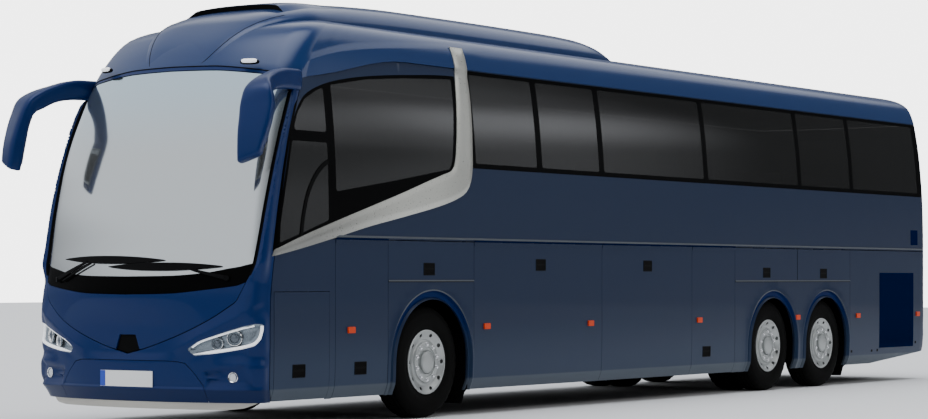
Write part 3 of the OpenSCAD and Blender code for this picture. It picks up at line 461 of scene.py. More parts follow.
def tube(name, pts, r, m, body="coach", n=12, caps=True):
    """A round bar along points; r is one radius or one for each point."""
    P = np.asarray(pts, float)
    T = np.gradient(P, axis=0)
    T /= np.linalg.norm(T, axis=1)[:, None]
    ref = np.array([0.0, 0.0, 1.0]) if abs(T[0][2]) < 0.9 else np.array([1.0, 0, 0])
    V, F = [], []
    u = np.cross(T[0], ref)
    u /= np.linalg.norm(u)
    for i in range(len(P)):
        u = u - T[i] * (u @ T[i])
        u /= np.linalg.norm(u)
        w = np.cross(T[i], u)
        ri = r[i] if hasattr(r, "__len__") else r
        for k in range(n):
            a = 2 * math.pi * k / n
            V.append(P[i] + ri * (math.cos(a) * u + math.sin(a) * w))
    for i in range(len(P) - 1):
        for k in range(n):
            a, b = i * n + k, i * n + (k + 1) % n
            F.append((a, b, b + n, a + n))
    if caps:
        F += [tuple(range(n - 1, -1, -1)), tuple(range((len(P) - 1) * n, len(P) * n))]
    return add(name, V, F, m, body)


def spin(profile, n, x, y, z, s=1, closed=True):
    """Points and faces of a profile [(offset along y, radius)] turned about the y axis; s -1 mirrors it."""
    V, F = [], []
    m = len(profile)
    for k in range(n):
        a = 2 * math.pi * k / n
        for d, r in profile:
            V.append((x + r * math.sin(a), y + s * d, z + r * math.cos(a)))
    for k in range(n):
        k2 = (k + 1) % n
        for j in range(m if closed else m - 1):
            j2 = (j + 1) % m
            q = (k * m + j, k2 * m + j, k2 * m + j2, k * m + j2)
            F.append(q if s > 0 else q[::-1])
    return V, F


def join(parts):
    V, F = [], []
    for v, f in parts:
        n = len(V)
        V += [tuple(p) for p in v]
        F += [tuple(n + i for i in q) for q in f]
    return V, F


def mirror_y(V):
    V = np.array(V, float)
    V[:, 1] *= -1
    return V


def cube(x0, x1, y0, y1, z0, z1):
    V = [(x, y, z) for x in (x0, x1) for y in (y0, y1) for z in (z0, z1)]
    return V, [(0, 1, 3, 2), (4, 6, 7, 5), (0, 4, 5, 1), (2, 3, 7, 6), (0, 2, 6, 4), (1, 5, 7, 3)]


def soft(o, w=0.004, seg=2):
    b = o.modifiers.new("edge", "BEVEL")
    b.width = w
    b.segments = seg
    b.limit_method = "ANGLE"
    b.angle_limit = math.radians(40)
    return o


ar = np.arange
lin = np.linspace

# ------------------------------------------------------------------ front: a is the length along the nose from its middle, z the height
AW, AC = 1.105, 0.36


def A(u):
    u = np.asarray(u, float)
    k = np.abs(u)
    return np.sign(u) * np.where(k <= 1, k * AW, AW + (k - 1) * AC)


def U(a):
    a = np.asarray(a, float)
    k = np.abs(a)
    return np.sign(a) * np.where(k <= AW, k / AW, 1 + (k - AW) / AC)


def az(pts):
    return [(float(A(u)), z) for u, z in pts]


def fa(a, z, o=0.0):
    return front(U(a), z, o)


def both_sides(right):
    """Closed loop from its right half, which starts and ends on the middle line."""
    return list(right) + [(-a, z) for a, z in reversed(right) if abs(a) > 1e-6]


def flipped(loop):
    return [(-a, z) for a, z in reversed(loop)]


V_PTS = [(0, 0.648), (0.176, 0.692), (0.42, 0.774), (0.623, 0.861), (0.816, 0.967), (0.964, 1.072), (1.103, 1.176), (1.207, 1.267)]
VEE = Pchip(V_PTS + [(1.32, 1.40), (1.5, 1.62), (1.9, 1.95)])
CREASE = Pchip([(0.0, 0.60), (0.40, 0.66), (0.529, 0.717), (0.688, 0.81), (0.816, 0.876), (1.0, 0.970), (1.2, 1.03), (1.59, 1.10), (1.9, 1.12)])
BAND_LO = Pchip([(0, 1.166), (0.41, 1.174), (0.744, 1.208), (1.205, 1.273), (1.4, 1.30)])
BAND_HI = Pchip([(0, 1.320), (0.40, 1.325), (0.73, 1.351), (0.977, 1.397), (1.315, 1.429), (1.6, 1.45)])
GLASS_U = Pchip([(1.30, 1.280), (1.43, 1.318), (1.71, 1.38), (1.97, 1.42), (2.5, 1.50), (3.1, 1.56)])
DLO_U = Pchip([(1.273, 1.214), (1.35, 1.31), (1.43, 1.372), (1.71, 1.435), (1.97, 1.478), (2.5, 1.56), (3.1, 1.62)])
GLASS_HI = Pchip([(0, 3.135), (0.45, 3.127), (0.74, 3.103), (0.93, 3.081), (1.2, 3.050), (1.6, 3.005)])
HEAD_LINE = Pchip([(0, 3.180), (0.43, 3.173), (0.73, 3.146), (0.99, 3.110), (1.2, 3.080), (1.6, 3.030), (1.87, 3.052), (2, 3.066)])
LAMP = [(0.596, 0.698), (0.688, 0.764), (0.879, 0.837), (1.193, 0.897), (1.446, 0.916), (1.67, 0.913), (1.658, 0.863), (1.598, 0.785), (1.447, 0.727), (1.194, 0.702), (0.88, 0.668), (0.662, 0.640), (0.623, 0.666)]
LAMP = rounded(az(LAMP), 0.03, 4)
FOG = rounded(az([(0.715, 0.530), (1.197, 0.585), (1.344, 0.513), (1.488, 0.372), (0.764, 0.372)]), 0.02, 3)
FLAP = [(0, 0.592), (0.40, 0.592), (0.503, 0.588), (0.577, 0.573), (0.663, 0.483), (0.737, 0.380), (0.758, 0.240)]


def mask_relief(a, z):
    """How far the front stands proud of its plain shape."""
    a, z = np.broadcast_arrays(np.asarray(a, float), np.asarray(z, float))
    u = np.abs(U(a))
    v, c = VEE(u), CREASE(u)
    h = 0.026 * smooth(0.22, 0.75, u) * (1 - smooth(1.40, 1.75, u))
    d = h * np.where(z > c, np.clip((v - z) / np.maximum(v - c, 0.02), 0, 1), 1 - smooth(0, 0.17, c - z))
    P = np.stack([np.abs(a).ravel(), z.ravel()], -1)
    e = np.where(inside(P, FOG), near(P, FOG, 1, 1), 0).reshape(a.shape)
    pocket = 0.030 * smooth(0.0, 0.060, e)
    for zf, u0, u1 in ((0.530, 0.70, 1.16), (0.455, 0.72, 0.96)):
        fin = np.clip(1 - np.abs(z - zf) / 0.020, 0, 1) * (1 - smooth(u0 + 0.03, u1, u))
        pocket = pocket * (1 - 0.9 * fin)
    # the corners swell round the lamps, the chin hangs fuller and the pillars stand proud of the glass
    d = d + 0.022 * smooth(1.12, 1.34, u) * (1 - smooth(1.68, 1.85, u)) * smooth(0.58, 0.72, z) * (1 - smooth(0.92, 1.06, z))
    d = d + 0.032 * smooth(0.78, 1.10, u) * (1 - smooth(1.66, 1.85, u)) * smooth(0.28, 0.46, z) * (1 - smooth(0.54, 0.66, z))
    d = d + (0.012 * (1 - smooth(0.24, 0.34, z)) + 0.018 * (1 - smooth(0.353, 0.379, z))) * (1 - smooth(1.60, 1.85, u)) - flat(a, z)
    e = np.abs(a) - A(DLO_U(np.maximum(z, 1.28)))
    d = d + (0.047 + 0.033 * smooth(2.35, 2.80, z)) * (0.33 + 0.67 * smooth(0, 0.022, e)) * (1 - smooth(1.56, 1.80, u)) * smooth(1.25, 1.46, z) * (1 - smooth(2.88, 3.02, z))
    return d - pocket


def flat(a, z):
    """How far the middle of the nose is set back."""
    return (0.028 + 0.020 * smooth(0.58, 0.68, z)) * (1 - smooth(0.05, 0.85, np.abs(U(a)))) * (1 - smooth(0.88, 1.15, z))


def f_hood(a, z, o=0.0):
    return fa(a, z, o + flat(a, z))


def f_flap(a, z, o=0.0):
    return fa(a, z, o + flat(a, z) - 0.012 * (1 - smooth(0.24, 0.34, z)) - 0.018 * (1 - smooth(0.353, 0.379, z)))


def f_mask(a, z, o=0.0):
    return fa(a, z, o - mask_relief(a, z))


GAP = 0.005
ZP = lin(1.30, 3.0, 18)
mask_right = (
    [(0.0, FLAP[0][1] + GAP)]
    + [(float(A(u)) + (0.003 if u > 0.5 else 0), z + GAP * (1 if z > 0.30 else 0)) for u, z in FLAP[1:]]
    + [(float(A(UJ - 0.012)), 0.240), (float(A(UJ - 0.012)), 3.046)]
    + [(float(A(u)), float(HEAD_LINE(u)) - 0.012) for u in (1.84, 1.75, 1.68)]
    + [(float(A(DLO_U(z))), z) for z in lin(3.010, 1.273, 24)]
    + [(float(A(u)), float(VEE(u))) for u in lin(1.205, 0, 34)]
)
mask_lines = [(s * float(A(u)), float(CREASE(u))) for u in lin(0.42, 1.75, 110) for s in (-1, 1)]
mask_lines += [(s * a, z) for a, z in dense(FOG, 0.012) for s in (-1, 1)]
mask_lines += [(s * (float(A(DLO_U(z))) + e), float(z)) for z in lin(1.34, 2.98, 60) for e in (0.008, 0.016, 0.024) for s in (-1, 1)]
o = panel("front_mask_skin", both_sides(mask_right), f_mask, BUMPER_CHIN_SHADE, t=0.016, holes=[LAMP, flipped(LAMP)], grid=(lin(-1.42, 1.42, 143), np.concatenate([lin(0.25, 1.4, 70), lin(1.43, 3.02, 48)])), step=0.022, extra=mask_lines)
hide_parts("front_mask", "a_pillars")

hood_right = (
    [(0.0, 0.816), (float(A(0.086)), 0.816), (float(A(0.128)), 0.690)]
    + [(float(A(u)) - 0.003, float(VEE(u)) + 0.007) for u in lin(0.17, 1.190, 30)]
    + [(float(A(u)), float(BAND_LO(u)) - 0.004) for u in lin(1.185, 0, 30)]
)
panel("hood_skin", both_sides(hood_right), f_hood, BLUE, t=0.016, grid=(lin(-1.2, 1.2, 97), lin(0.66, 1.27, 40)), step=0.025)
panel("hood_vent", both_sides([(0, 0.656), (float(A(0.118)), 0.688), (float(A(0.081)), 0.810), (0, 0.810)]), f_hood, GASKET, t=0.012, o=0.010, step=0.03)
# painted shade: a dark sheet behind the gaps, so that they show dark
panel("front_shade_sheet", both_sides([(0, 0.25), (float(A(1.86)), 0.25), (float(A(1.86)), 1.30), (float(A(1.3)), 1.30), (float(A(1.2)), 1.24), (0, 1.16)]), fa, MATT, t=0.006, o=0.085, grid=(lin(-1.4, 1.4, 57), lin(0.25, 1.3, 25)), step=0.05)

flap_right = [(0.0, FLAP[0][1])] + [(float(A(u)), z) for u, z in FLAP[1:]] + [(0.0, 0.240)]
o = panel("front_flap_skin", both_sides(flap_right), f_flap, BUMPER_CHIN_SHADE, t=0.016, grid=(lin(-0.85, 0.85, 69), np.concatenate([lin(0.25, 0.342, 8), lin(0.351, 0.381, 7), lin(0.395, 0.59, 14)])), step=0.022, body="front_flap")
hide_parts("front_flap")
panel("plate", box_loop(-0.304, 0.304, 0.366, 0.504), lambda a, z, o: f_flap(a, np.full_like(z, 0.45), o) * (1, 1, 0) + stack(0 * a, 0 * a, z), PLATE, t=0.007, o=-0.009, grid=(lin(-0.3, 0.3, 13), ()), step=0.05, body="front_flap")
panel("plate_band", box_loop(-0.302, -0.241, 0.368, 0.502), lambda a, z, o: f_flap(a, np.full_like(z, 0.45), o) * (1, 1, 0) + stack(0 * a, 0 * a, z), PLATE_B, t=0.002, o=-0.011, step=0.05, body="front_flap")
lip = [(float(A(u)), z) for u, z in ((0, 0.176), (0.90, 0.176), (1.16, 0.192), (1.45, 0.226), (1.52, 0.238), (0, 0.238))]
o = panel("front_lip_skin", both_sides(lip), lambda a, z, o: fa(a, z, o), CREAM, t=0.03, o=0.004, grid=(lin(-1.28, 1.28, 65), ()), step=0.03)
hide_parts("front_lip")

# windscreen, its black band and gasket
glass_right = [(float(A(u)), float(BAND_HI(u))) for u in lin(0, 1.315, 24)] + [(float(A(GLASS_U(z))), z) for z in lin(1.45, 2.98, 30)] + [(float(A(u)), float(GLASS_HI(u))) for u in lin(1.46, 0, 22)]
glass_loop = rounded(both_sides(glass_right), [0.0] * len(both_sides(glass_right)))
dlo_right = [(float(A(u)), float(BAND_LO(u))) for u in lin(0, 1.205, 24)] + [(float(A(DLO_U(z))) - 0.003, z) for z in lin(1.30, 3.01, 32)] + [(float(A(u)), float(GLASS_HI(u)) + 0.008) for u in lin(1.52, 0, 22)]
g_grid = (lin(-1.35, 1.35, 61), lin(1.3, 3.15, 42))
o = panel("windscreen_skin", glass_loop, fa, SCREEN, t=0.008, o=0.004, grid=g_grid, step=0.04)
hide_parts("windscreen")
panel("windscreen_band", both_sides(dlo_right), fa, BLACK, t=0.010, o=0.002, holes=[glass_loop], grid=(lin(-1.35, 1.35, 61), lin(1.16, 1.45, 14)), step=0.035)
header = [(0.0, float(GLASS_HI(0)) + 0.006)] + [(float(A(u)), float(GLASS_HI(u)) + 0.006) for u in lin(0.06, 1.55, 24)] + [(float(A(u)), float(HEAD_LINE(u)) - 0.009) for u in lin(1.60, 0, 24)]
panel("windscreen_header", both_sides(header), fa, BLUE, t=0.012, o=-0.002, grid=(lin(-1.3, 1.3, 53), ()), step=0.03)

us = lin(-1.66, 1.66, 90)
tube("header_gap", fa(A(us), HEAD_LINE(np.abs(us)) - 0.005, -0.001), 0.0065, GASKET, n=8)
for s, nm in ((1, "left"), (-1, "right")):
    zs = lin(1.33, 2.97, 50)
    ae = A(DLO_U(zs))
    lines_ = [fa(ae - 0.014, zs, 0.003), fa(ae - 0.004, zs, 0.0005), fa(ae - 0.0025, zs, -mask_relief(ae + 0.001, zs) - 0.002), f_mask(ae + 0.003, zs, -0.0025), f_mask(ae + 0.005, zs, 0.004)]
    V = np.concatenate(lines_) * (1, s, 1)
    F = [(k * 50 + i, k * 50 + i + 1, (k + 1) * 50 + i + 1, (k + 1) * 50 + i) for k in range(4) for i in range(49)]
    add("pillar_gasket_" + nm, V, F, GASKET, flip=s > 0)
panel("driver_window_edge", [(float(A(1.785)), 1.535), (float(A(1.868)), 1.535), (float(A(1.868)), 2.86), (float(A(1.80)), 2.80)], lambda a, z, o=0.0: f_mask(a, z, o), BLACK, t=0.004, o=-0.002, grid=((), lin(1.55, 2.8, 40)), step=0.03)

# headlamps: bowl, inner bezel, projectors and light guide
for s, nm in ((1, "left"), (-1, "right")):
    def fs(a, z, o=0.0, s=s):
        return f_mask(a, z, o) * (1, s, 1)

    inner = [(a, z) for a, z in LAMP]
    c = np.mean(np.array(inner), axis=0)
    parts = []
    bowl = panel("headlamp_bowl_" + nm, inner, lambda a, z, o, fs=fs: fs(a, z, o + 0.030 * smooth(0.0, 0.05, near(np.stack([a, z], -1), LAMP, 1, 1))), BOWL, t=0.006, o=0.012, grid=(lin(0.6, 1.4, 60), lin(0.63, 0.93, 30)), step=0.016)
    if s > 0:
        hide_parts("lamps")
    for uc, zc, r in ((0.997, 0.793, 0.066), (0.854, 0.746, 0.052)):
        p = fs(A(uc), zc, 0.030)
        n = fs(A(uc), zc, 0.0) - fs(A(uc), zc, 0.05)
        n = n / np.linalg.norm(n)
        n = (n + np.array([0.6, 0, 0])) / np.linalg.norm(n + np.array([0.6, 0, 0]))
        t1 = np.cross(n, (0, 0, 1.0))
        t1 /= np.linalg.norm(t1)
        t2 = np.cross(n, t1)
        for k, prof, m_ in (("ring", [(0.0, r), (0.016, r), (0.020, r * 0.93), (0.012, r * 0.84), (0.004, r * 0.78), (0.0, r * 0.78)], CHROME), ("eye", [(0.004, r * 0.80), (0.008, r * 0.66), (0.004, r * 0.60), (0.0, r * 0.60)], BOWL), ("ball", [(0.0, r * 0.62)] + [(r * 0.40 * math.cos(q), r * 0.62 * math.sin(q)) for q in lin(1.5, 0.02, 8)], BULB)):
            V, F = [], []
            n_, m2 = 28, len(prof)
            for i in range(n_):
                q = 2 * math.pi * i / n_
                for d, rr in prof:
                    V.append(p + n * d + rr * (math.cos(q) * t1 + math.sin(q) * t2))
            for i in range(n_):
                for j in range(m2 - 1 if k == "ball" else m2):
                    F.append((i * m2 + j, i * m2 + (j + 1) % m2, ((i + 1) % n_) * m2 + (j + 1) % m2, ((i + 1) % n_) * m2 + j))
            add("headlamp_%s_%s_%d" % (k, nm, int(uc * 1000)), V, F, m_)
    guide = [(0.650, 0.653), (0.88, 0.684), (1.194, 0.718), (1.43, 0.744), (1.57, 0.795), (1.625, 0.862), (1.635, 0.900)]
    gp = np.array([fs(A(u), z, 0.012) for u, z in guide])
    gs = np.concatenate([[0], np.cumsum(np.linalg.norm(np.diff(gp, axis=0), axis=1))])
    fine = np.stack([Pchip(list(zip(gs, gp[:, k])))(lin(0, gs[-1], 40)) for k in range(3)], -1)
    tube("headlamp_guide_" + nm, fine, [0.004 + 0.011 * float(smooth(0, 0.25, t)) for t in lin(0, 1, 40)], LED, n=10)
    upper = [(0.640, 0.715), (0.70, 0.756), (0.879, 0.822), (1.193, 0.880), (1.44, 0.900)]
    gp = np.array([fs(A(u), z, 0.016) for u, z in upper])
    gs = np.concatenate([[0], np.cumsum(np.linalg.norm(np.diff(gp, axis=0), axis=1))])
    fine = np.stack([Pchip(list(zip(gs, gp[:, k])))(lin(0, gs[-1], 30)) for k in range(3)], -1)
    tube("headlamp_brow_" + nm, fine, 0.009, LED, n=8)
    # fog lamp
    p, q = fs(A(0.985), 0.461, 0.004), fs(A(0.985), 0.461, 0.034)
    ax = np.array([1.0, s * 0.30, 0.0])
    ax /= np.linalg.norm(ax)
    t1 = np.cross(ax, (0, 0, 1.0))
    t2 = np.cross(ax, t1)
    for k, prof, m_ in (("ring", [(-0.03, 0.047), (0.010, 0.047), (0.014, 0.043), (0.008, 0.036), (-0.03, 0.036)], CHROME), ("lens", [(-0.03, 0.037), (0.002, 0.037), (0.008, 0.024), (0.010, 0.001)], LENS)):
        V, F = [], []
        n_, m2 = 28, len(prof)
        for i in range(n_):
            g = 2 * math.pi * i / n_
            for d, rr in prof:
                V.append(p + ax * d + rr * (math.cos(g) * t1 + math.sin(g) * t2))
        for i in range(n_):
            for j in range(m2 - 1):
                F.append((i * m2 + j, i * m2 + j + 1, ((i + 1) % n_) * m2 + j + 1, ((i + 1) % n_) * m2 + j))
        add("fog_%s_%s" % (k, nm), V, F, m_)

# wipers: lens-shaped blades on arms
wipers = []
for i, (b0, b1, wd, a0, a1) in enumerate((((-0.749, 1.472), (0.353, 1.461), 0.030, (-0.833, 1.292), (-0.444, 1.447)), ((-0.19, 1.404), (0.857, 1.407), 0.031, (0.905, 1.306), (0.609, 1.378)))):
    n_ = 40
    us, zs = lin(b0[0], b1[0], n_), lin(b0[1], b1[1], n_)
    t = lin(-1, 1, n_)
    hw = wd * (1 - np.abs(t) ** 2.2) + 0.003
    top, bot = fa(A(us), zs + hw, -0.016), fa(A(us), zs - hw, -0.016)
    tin, bin_ = fa(A(us), zs + hw, -0.004), fa(A(us), zs - hw, -0.004)
    V = np.concatenate([top, bot, bin_, tin])
    F = []
    for k in range(n_ - 1):
        for g in range(4):
            p, q = g * n_, ((g + 1) % 4) * n_
            F.append((p + k, q + k, q + k + 1, p + k + 1))
    F += [(0, 3 * n_, 2 * n_, n_), (n_ - 1, 2 * n_ - 1, 3 * n_ - 1, 4 * n_ - 1)]
    o = add("wiper_blade_%d" % i, V, F, MATT)
    if i == 0:
        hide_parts("wipers")
    us, zs = lin(a0[0], a1[0], 16), lin(a0[1], a1[1], 16)
    strip("wiper_arm_%d" % i, fa(A(us), zs, -0.020), 0.024, 0.014, MATT, up=(1, 0, 0.2), taper=lin(1.5, 0.8, 16))
    if i == 0:
        strip("wiper_link", fa(A(us * 0.93 + 0.02), zs - 0.012, -0.018), 0.012, 0.010, MATT, up=(1, 0, 0.2))
    tube("wiper_pivot_%d" % i, [fa(A(a0[0]), a0[1], 0.01), fa(A(a0[0]), a0[1], -0.030)], 0.024, MATT, n=16)

# ------------------------------------------------------------------ roof: rings from the window line to the crown
RING = mm([[3300, 1155, 6290, -7115], [3420, 1128, 6170, -7080], [3500, 1098, 6060, -7035], [3556, 1050, 5930, -6970], [3598, 975, 5780, -6880], [3632, 840, 5580, -6750], [3664, 620, 5350, -6580], [3692, 330, 5100, -6380], [3700, 120, 4900, -6130]])
rows = [(float(z), float(half(z)), float(nose(z)), float(tail(z))) for z in lin(2.98, 3.25, 10)] + RING
sv = [rows[0][0]]
for a_, b_ in zip(rows, rows[1:]):
    sv.append(sv[-1] + math.hypot(b_[0] - a_[0], b_[1] - a_[1]))
S_OF_Z = Pchip([(r[0], s) for r, s in zip(rows, sv)])
R_Z, R_W, R_N, R_T = (Pchip([(s, r[k]) for r, s in zip(rows, sv)]) for k in range(4))
S_MAX = sv[-1]
EYEBROW = Pchip([(p[0] / 1000, p[1] / 1000) for p in [(6250, 3085), (6067, 3136), (5818, 3246), (5450, 3344), (4705, 3433), (3698, 3499), (3400, 3506), (-7200, 3506)]])


def ring_point(s, kind, p, o=0.0):
    """Roof point: kind 0 is the nose (p = u), 1 the flank (p = 0..1), 2 the tail (p = u)."""
    w, xn, xt = R_W(s) - o, R_N(s) - o, R_T(s) + o
    xa, xb = xn - FIN * w, xt + RIN * w
    fx, fy = bow(xn, w, np.where(kind == 0, p, 2.0), KR, KC, FTH, 1)
    bx, by = bow(xt, w, np.where(kind == 2, p, 2.0), QR, QC, RTH, -1)
    x = np.where(kind == 0, fx, np.where(kind == 1, xa + (xb - xa) * p, bx))
    y = np.where(kind == 0, fy, np.where(kind == 1, w, by))
    return x, y, R_Z(s) - o * np.clip((s - S_OF_Z(3.42)) / 0.15, 0, 1)


kinds = np.array([0] * 41 + [1] * 71 + [2] * 20)
ps = np.concatenate([lin(0, 2, 41), lin(0, 1, 73)[1:-1], lin(2, 0, 20)])
s_top = S_MAX
nrow1, nrow2 = 10, 34
x0r, _, _ = ring_point(np.full(len(ps), S_OF_Z(3.3)), kinds, ps)
low = np.where(kinds == 0, HEAD_LINE(np.minimum(ps, 2)), np.where(kinds == 1, roof_side(x0r), 3.300))
for _ in range(8):
    low = np.where(kinds == 1, roof_side(ring_point(S_OF_Z(low), kinds, ps)[0]), low)
s_low = S_OF_Z(low)
s_mid = np.maximum(S_OF_Z(np.clip(EYEBROW(x0r), low + 0.02, 3.52)), s_low + 0.02)
s_mid = np.where(kinds == 0, s_low + 0.06 + (s_mid - s_low - 0.06) * smooth(1.2, 2.0, ps), s_mid)
G = []
for layer in (0.0, 0.014):
    for t in np.concatenate([lin(0, 1, nrow1), 1 + lin(0, 1, nrow2)[1:]]):
        s = np.where(t <= 1, s_low + (s_mid - s_low) * min(t, 1), s_mid + (s_top - s_mid) * max(t - 1, 0))
        step_ = 0.0
        x, y, z = ring_point(s, kinds, ps, layer)
        # the brow panel over the driver's window stands proud of the shoulder above it
        brow = 0.013 * smooth(6.25, 5.7, x) * smooth(3.3, 3.5, x) * (1.0 if t <= 1 else float(1 - smooth(1.0, 1.035, t)))
        y = y + brow * (kinds >= 0) * (np.abs(y) > 0.6)
        G.append(np.stack([x, y, z], -1))
nr, nc = nrow1 + nrow2 - 1, len(ps)
half_grid = np.array(G).reshape(2, nr, nc, 3)
full = np.concatenate([half_grid, half_grid[:, :, -2:0:-1] * (1, -1, 1)], axis=2)
nc2 = full.shape[2]
V = full.reshape(-1, 3)
F = []
for r in range(nr - 1):
    for c in range(nc2):
        i, j = r * nc2 + c, r * nc2 + (c + 1) % nc2
        F.append((i, j, j + nc2, i + nc2))
        k = nr * nc2
        F.append((k + i, k + i + nc2, k + j + nc2, k + j))
for c in range(nc2):
    j = (c + 1) % nc2
    F.append((j, c, nr * nc2 + c, nr * nc2 + j))
F.append(tuple((nr - 1) * nc2 + c for c in range(nc2)))
F.append(tuple(nr * nc2 + (nr - 1) * nc2 + c for c in reversed(range(nc2))))
o = add("roof_skin", V, F, ROOF_LIT_BLUE, sharp=28)
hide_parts("roof")

# pod on the roof
POD = mm([[6372, 330, 3176], [6345, 362, 3214], [6310, 400, 3262], [6200, 480, 3392], [6050, 560, 3515], [5850, 640, 3630], [5550, 730, 3735], [5150, 800, 3815], [4600, 835, 3865], [3800, 845, 3890], [2400, 845, 3895], [1200, 835, 3892], [650, 815, 3880], [320, 785, 3840], [100, 740, 3765], [-40, 690, 3700]])
POD_W, POD_Z = Pchip([(p[0], p[1]) for p in POD]), Pchip([(p[0], p[2]) for p in POD])
zr_w = Pchip([(-r[1], r[0]) for r in RING])


def roof_z(x, y):
    """Height of the plain roof."""
    x, y = np.broadcast_arrays(np.asarray(x, float), np.asarray(y, float))
    za = zr_w(-np.abs(y))
    xs = np.stack([nx_ - KR * w_ * (1 - np.sqrt(1 - np.clip(np.minimum(np.abs(y), w_ * 0.98) / (KR * w_), 0, 1) ** 2)) for z_, w_, nx_, tx_ in RING], -1)
    zs = np.array([r[0] for r in RING])
    zb = np.empty(x.shape)
    for i in np.ndindex(x.shape):
        pts = [(-7.0, 3.0), (-6.407, 3.15)] + [(-xx, zz) for xx, zz in zip(xs[i], zs)]
        pts = sorted(pts)
        zb[i] = np.interp(-x[i], [q[0] for q in pts], [q[1] for q in pts])
    return np.minimum(za, zb)


xs_ = np.concatenate([lin(6.372, 5.5, 40), lin(5.48, 1.2, 60)[1:], lin(1.2, -0.04, 30)[1:]])
vs_ = np.sign(lin(-1, 1, 61)) * (1 - (1 - np.abs(lin(-1, 1, 61))) ** 1.35)
X, VV = np.meshgrid(xs_, vs_, indexing="ij")
Y = VV * POD_W(X)
B = roof_z(X, Y)
Zt = np.maximum(B - 0.02, B - 0.02 + (POD_Z(X) - B + 0.02) * (1 - np.abs(VV) ** 3.2) ** 0.45)
top = np.stack([X, Y, Zt], -1)
bot = np.stack([X, Y, np.minimum(B - 0.03, Zt - 0.005)], -1)
n0, n1 = X.shape
V = np.concatenate([top.reshape(-1, 3), bot.reshape(-1, 3)])
F = []
k = n0 * n1
for i in range(n0 - 1):
    for j in range(n1 - 1):
        a_, b_, c_, d_ = i * n1 + j, (i + 1) * n1 + j, (i + 1) * n1 + j + 1, i * n1 + j + 1
        F.append((a_, d_, c_, b_))
        F.append((k + a_, k + b_, k + c_, k + d_))
ring_ = [i * n1 for i in range(n0)] + [(n0 - 1) * n1 + j for j in range(1, n1)] + [i * n1 + n1 - 1 for i in range(n0 - 2, -1, -1)] + [j for j in range(n1 - 2, 0, -1)]
for a_, b_ in zip(ring_, ring_[1:] + ring_[:1]):
    F.append((a_, b_, k + b_, k + a_))
o = add("roof_pod_skin", V, F, ROOF_LIT_BLUE, sharp=40)
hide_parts("roof_pod")


def pod_top(x, v, up=0.0):
    x, v = np.broadcast_arrays(np.asarray(x, float), np.asarray(v, float))
    y = v * POD_W(x)
    b = roof_z(x, y)
    z = b - 0.02 + (POD_Z(x) - b + 0.02) * (1 - np.abs(v) ** 3.2) ** 0.45
    return np.stack([x, y, z + up], -1)


# air scoop on the crown of the pod: a lip that lifts off the surface, dark below it
sv_, sx_ = lin(-0.80, 0.80, 49), lin(0, 1, 25)
SV, SX = np.meshgrid(sv_, sx_, indexing="ij")
xf = 5.44 + 0.10 * (SV / 0.8) ** 2
lift = 0.046 * (1 - smooth(0.0, 0.9, SX)) * (1 - smooth(0.62, 0.80, np.abs(SV))) - 0.004 * smooth(0.8, 1.0, SX) - 0.004 * smooth(0.76, 0.80, np.abs(SV))
tp = pod_top(xf - 0.85 * SX, SV, 0.0) + np.stack([0 * SX, 0 * SX, lift], -1)
V, F = list(map(tuple, tp.reshape(-1, 3))), []
m_, n_ = SV.shape
for i in range(m_ - 1):
    for j in range(n_ - 1):
        F.append((i * n_ + j, (i + 1) * n_ + j, (i + 1) * n_ + j + 1, i * n_ + j + 1))
add("roof_scoop_lip", V, F, ROOF_LIT_BLUE)
fl = pod_top(xf[:, 0] - 0.006, sv_, -0.006)
fu = tp[:, 0] - (0.006, 0, 0.002)
V = np.concatenate([fl, fu])
add("roof_air_slot", V, [(i, i + 1, m_ + i + 1, m_ + i) for i in range(m_ - 1)], GASKET)
for s in (-1, 1):
    v0 = lin(0, 1, 30)
    line = pod_top(6.355 - 0.75 * v0, s * (0.86 + 0.03 * v0), 0.0005)
    tube("pod_seam_%s" % ("l" if s > 0 else "r"), line, 0.0028, GASKET, n=6)
    # roof marker lamps
    c = np.array([6.338, s * 0.836, 3.192])
    ax = np.array([math.sin(0.33) * -1, 1 * math.cos(0.33), 0]) * (1, s, 1)
    for nm, hw, r, m2, off, sh in (("bed", 0.084, 0.022, GASKET, -0.008, -0.006), ("lens", 0.070, 0.019, LED, 0.009, 0.0)):
        pts = [c + ax * (t + sh) + np.array([1, 0, 0.55]) * off for t in lin(-hw, hw, 9)]
        rr = [r * (0.55 + 0.45 * math.sqrt(max(0.0, 1 - (t / hw) ** 4))) for t in lin(-hw, hw, 9)]
        tube("roof_marker_%s_%s" % (nm, "l" if s > 0 else "r"), pts, rr, m2, n=14)

# ------------------------------------------------------------------ flanks: x and z on the side surface
PANES = [(3.440, 2.353), (2.257, 1.160), (1.064, -1.072), (-1.168, -3.367), (-3.463, -4.780), (-4.876, -6.780)]
DRV_UP = mm([[5775, 2590], [6243, 2590], [6170, 2745], [6055, 2868], [5882, 2950], [5775, 2985]])
DRV_LOW = mm([[5775, 1815], [6130, 1705], [6470, 1607], [6458, 1770], [6388, 2062], [6310, 2356], [6270, 2495], [5775, 2495]])
SECOND = mm([[3885, 2330], [4771, 2195], [5665, 2070], [5665, 3015], [5106, 3100], [4493, 3150], [3745, 3190], [3760, 2880], [3800, 2600], [3840, 2400]])
TRIM_LO = mm([[6572, 1491], [6245, 1549], [5658, 1668], [5190, 1768], [4629, 1870], [4045, 1984], [3802, 2047], [3637, 2116], [3551, 2215], [3517, 2331], [3495, 2563], [3478, 2772], [3469, 3052], [3472, 3290], [3480, 3505]])
TRIM_HI = mm([[3690, 3505], [3672, 3290], [3687, 3154], [3718, 2875], [3757, 2598], [3816, 2366], [3872, 2312], [3993, 2278], [4233, 2211], [4624, 2097], [5188, 1942], [5727, 1795], [6143, 1676], [6545, 1547]])
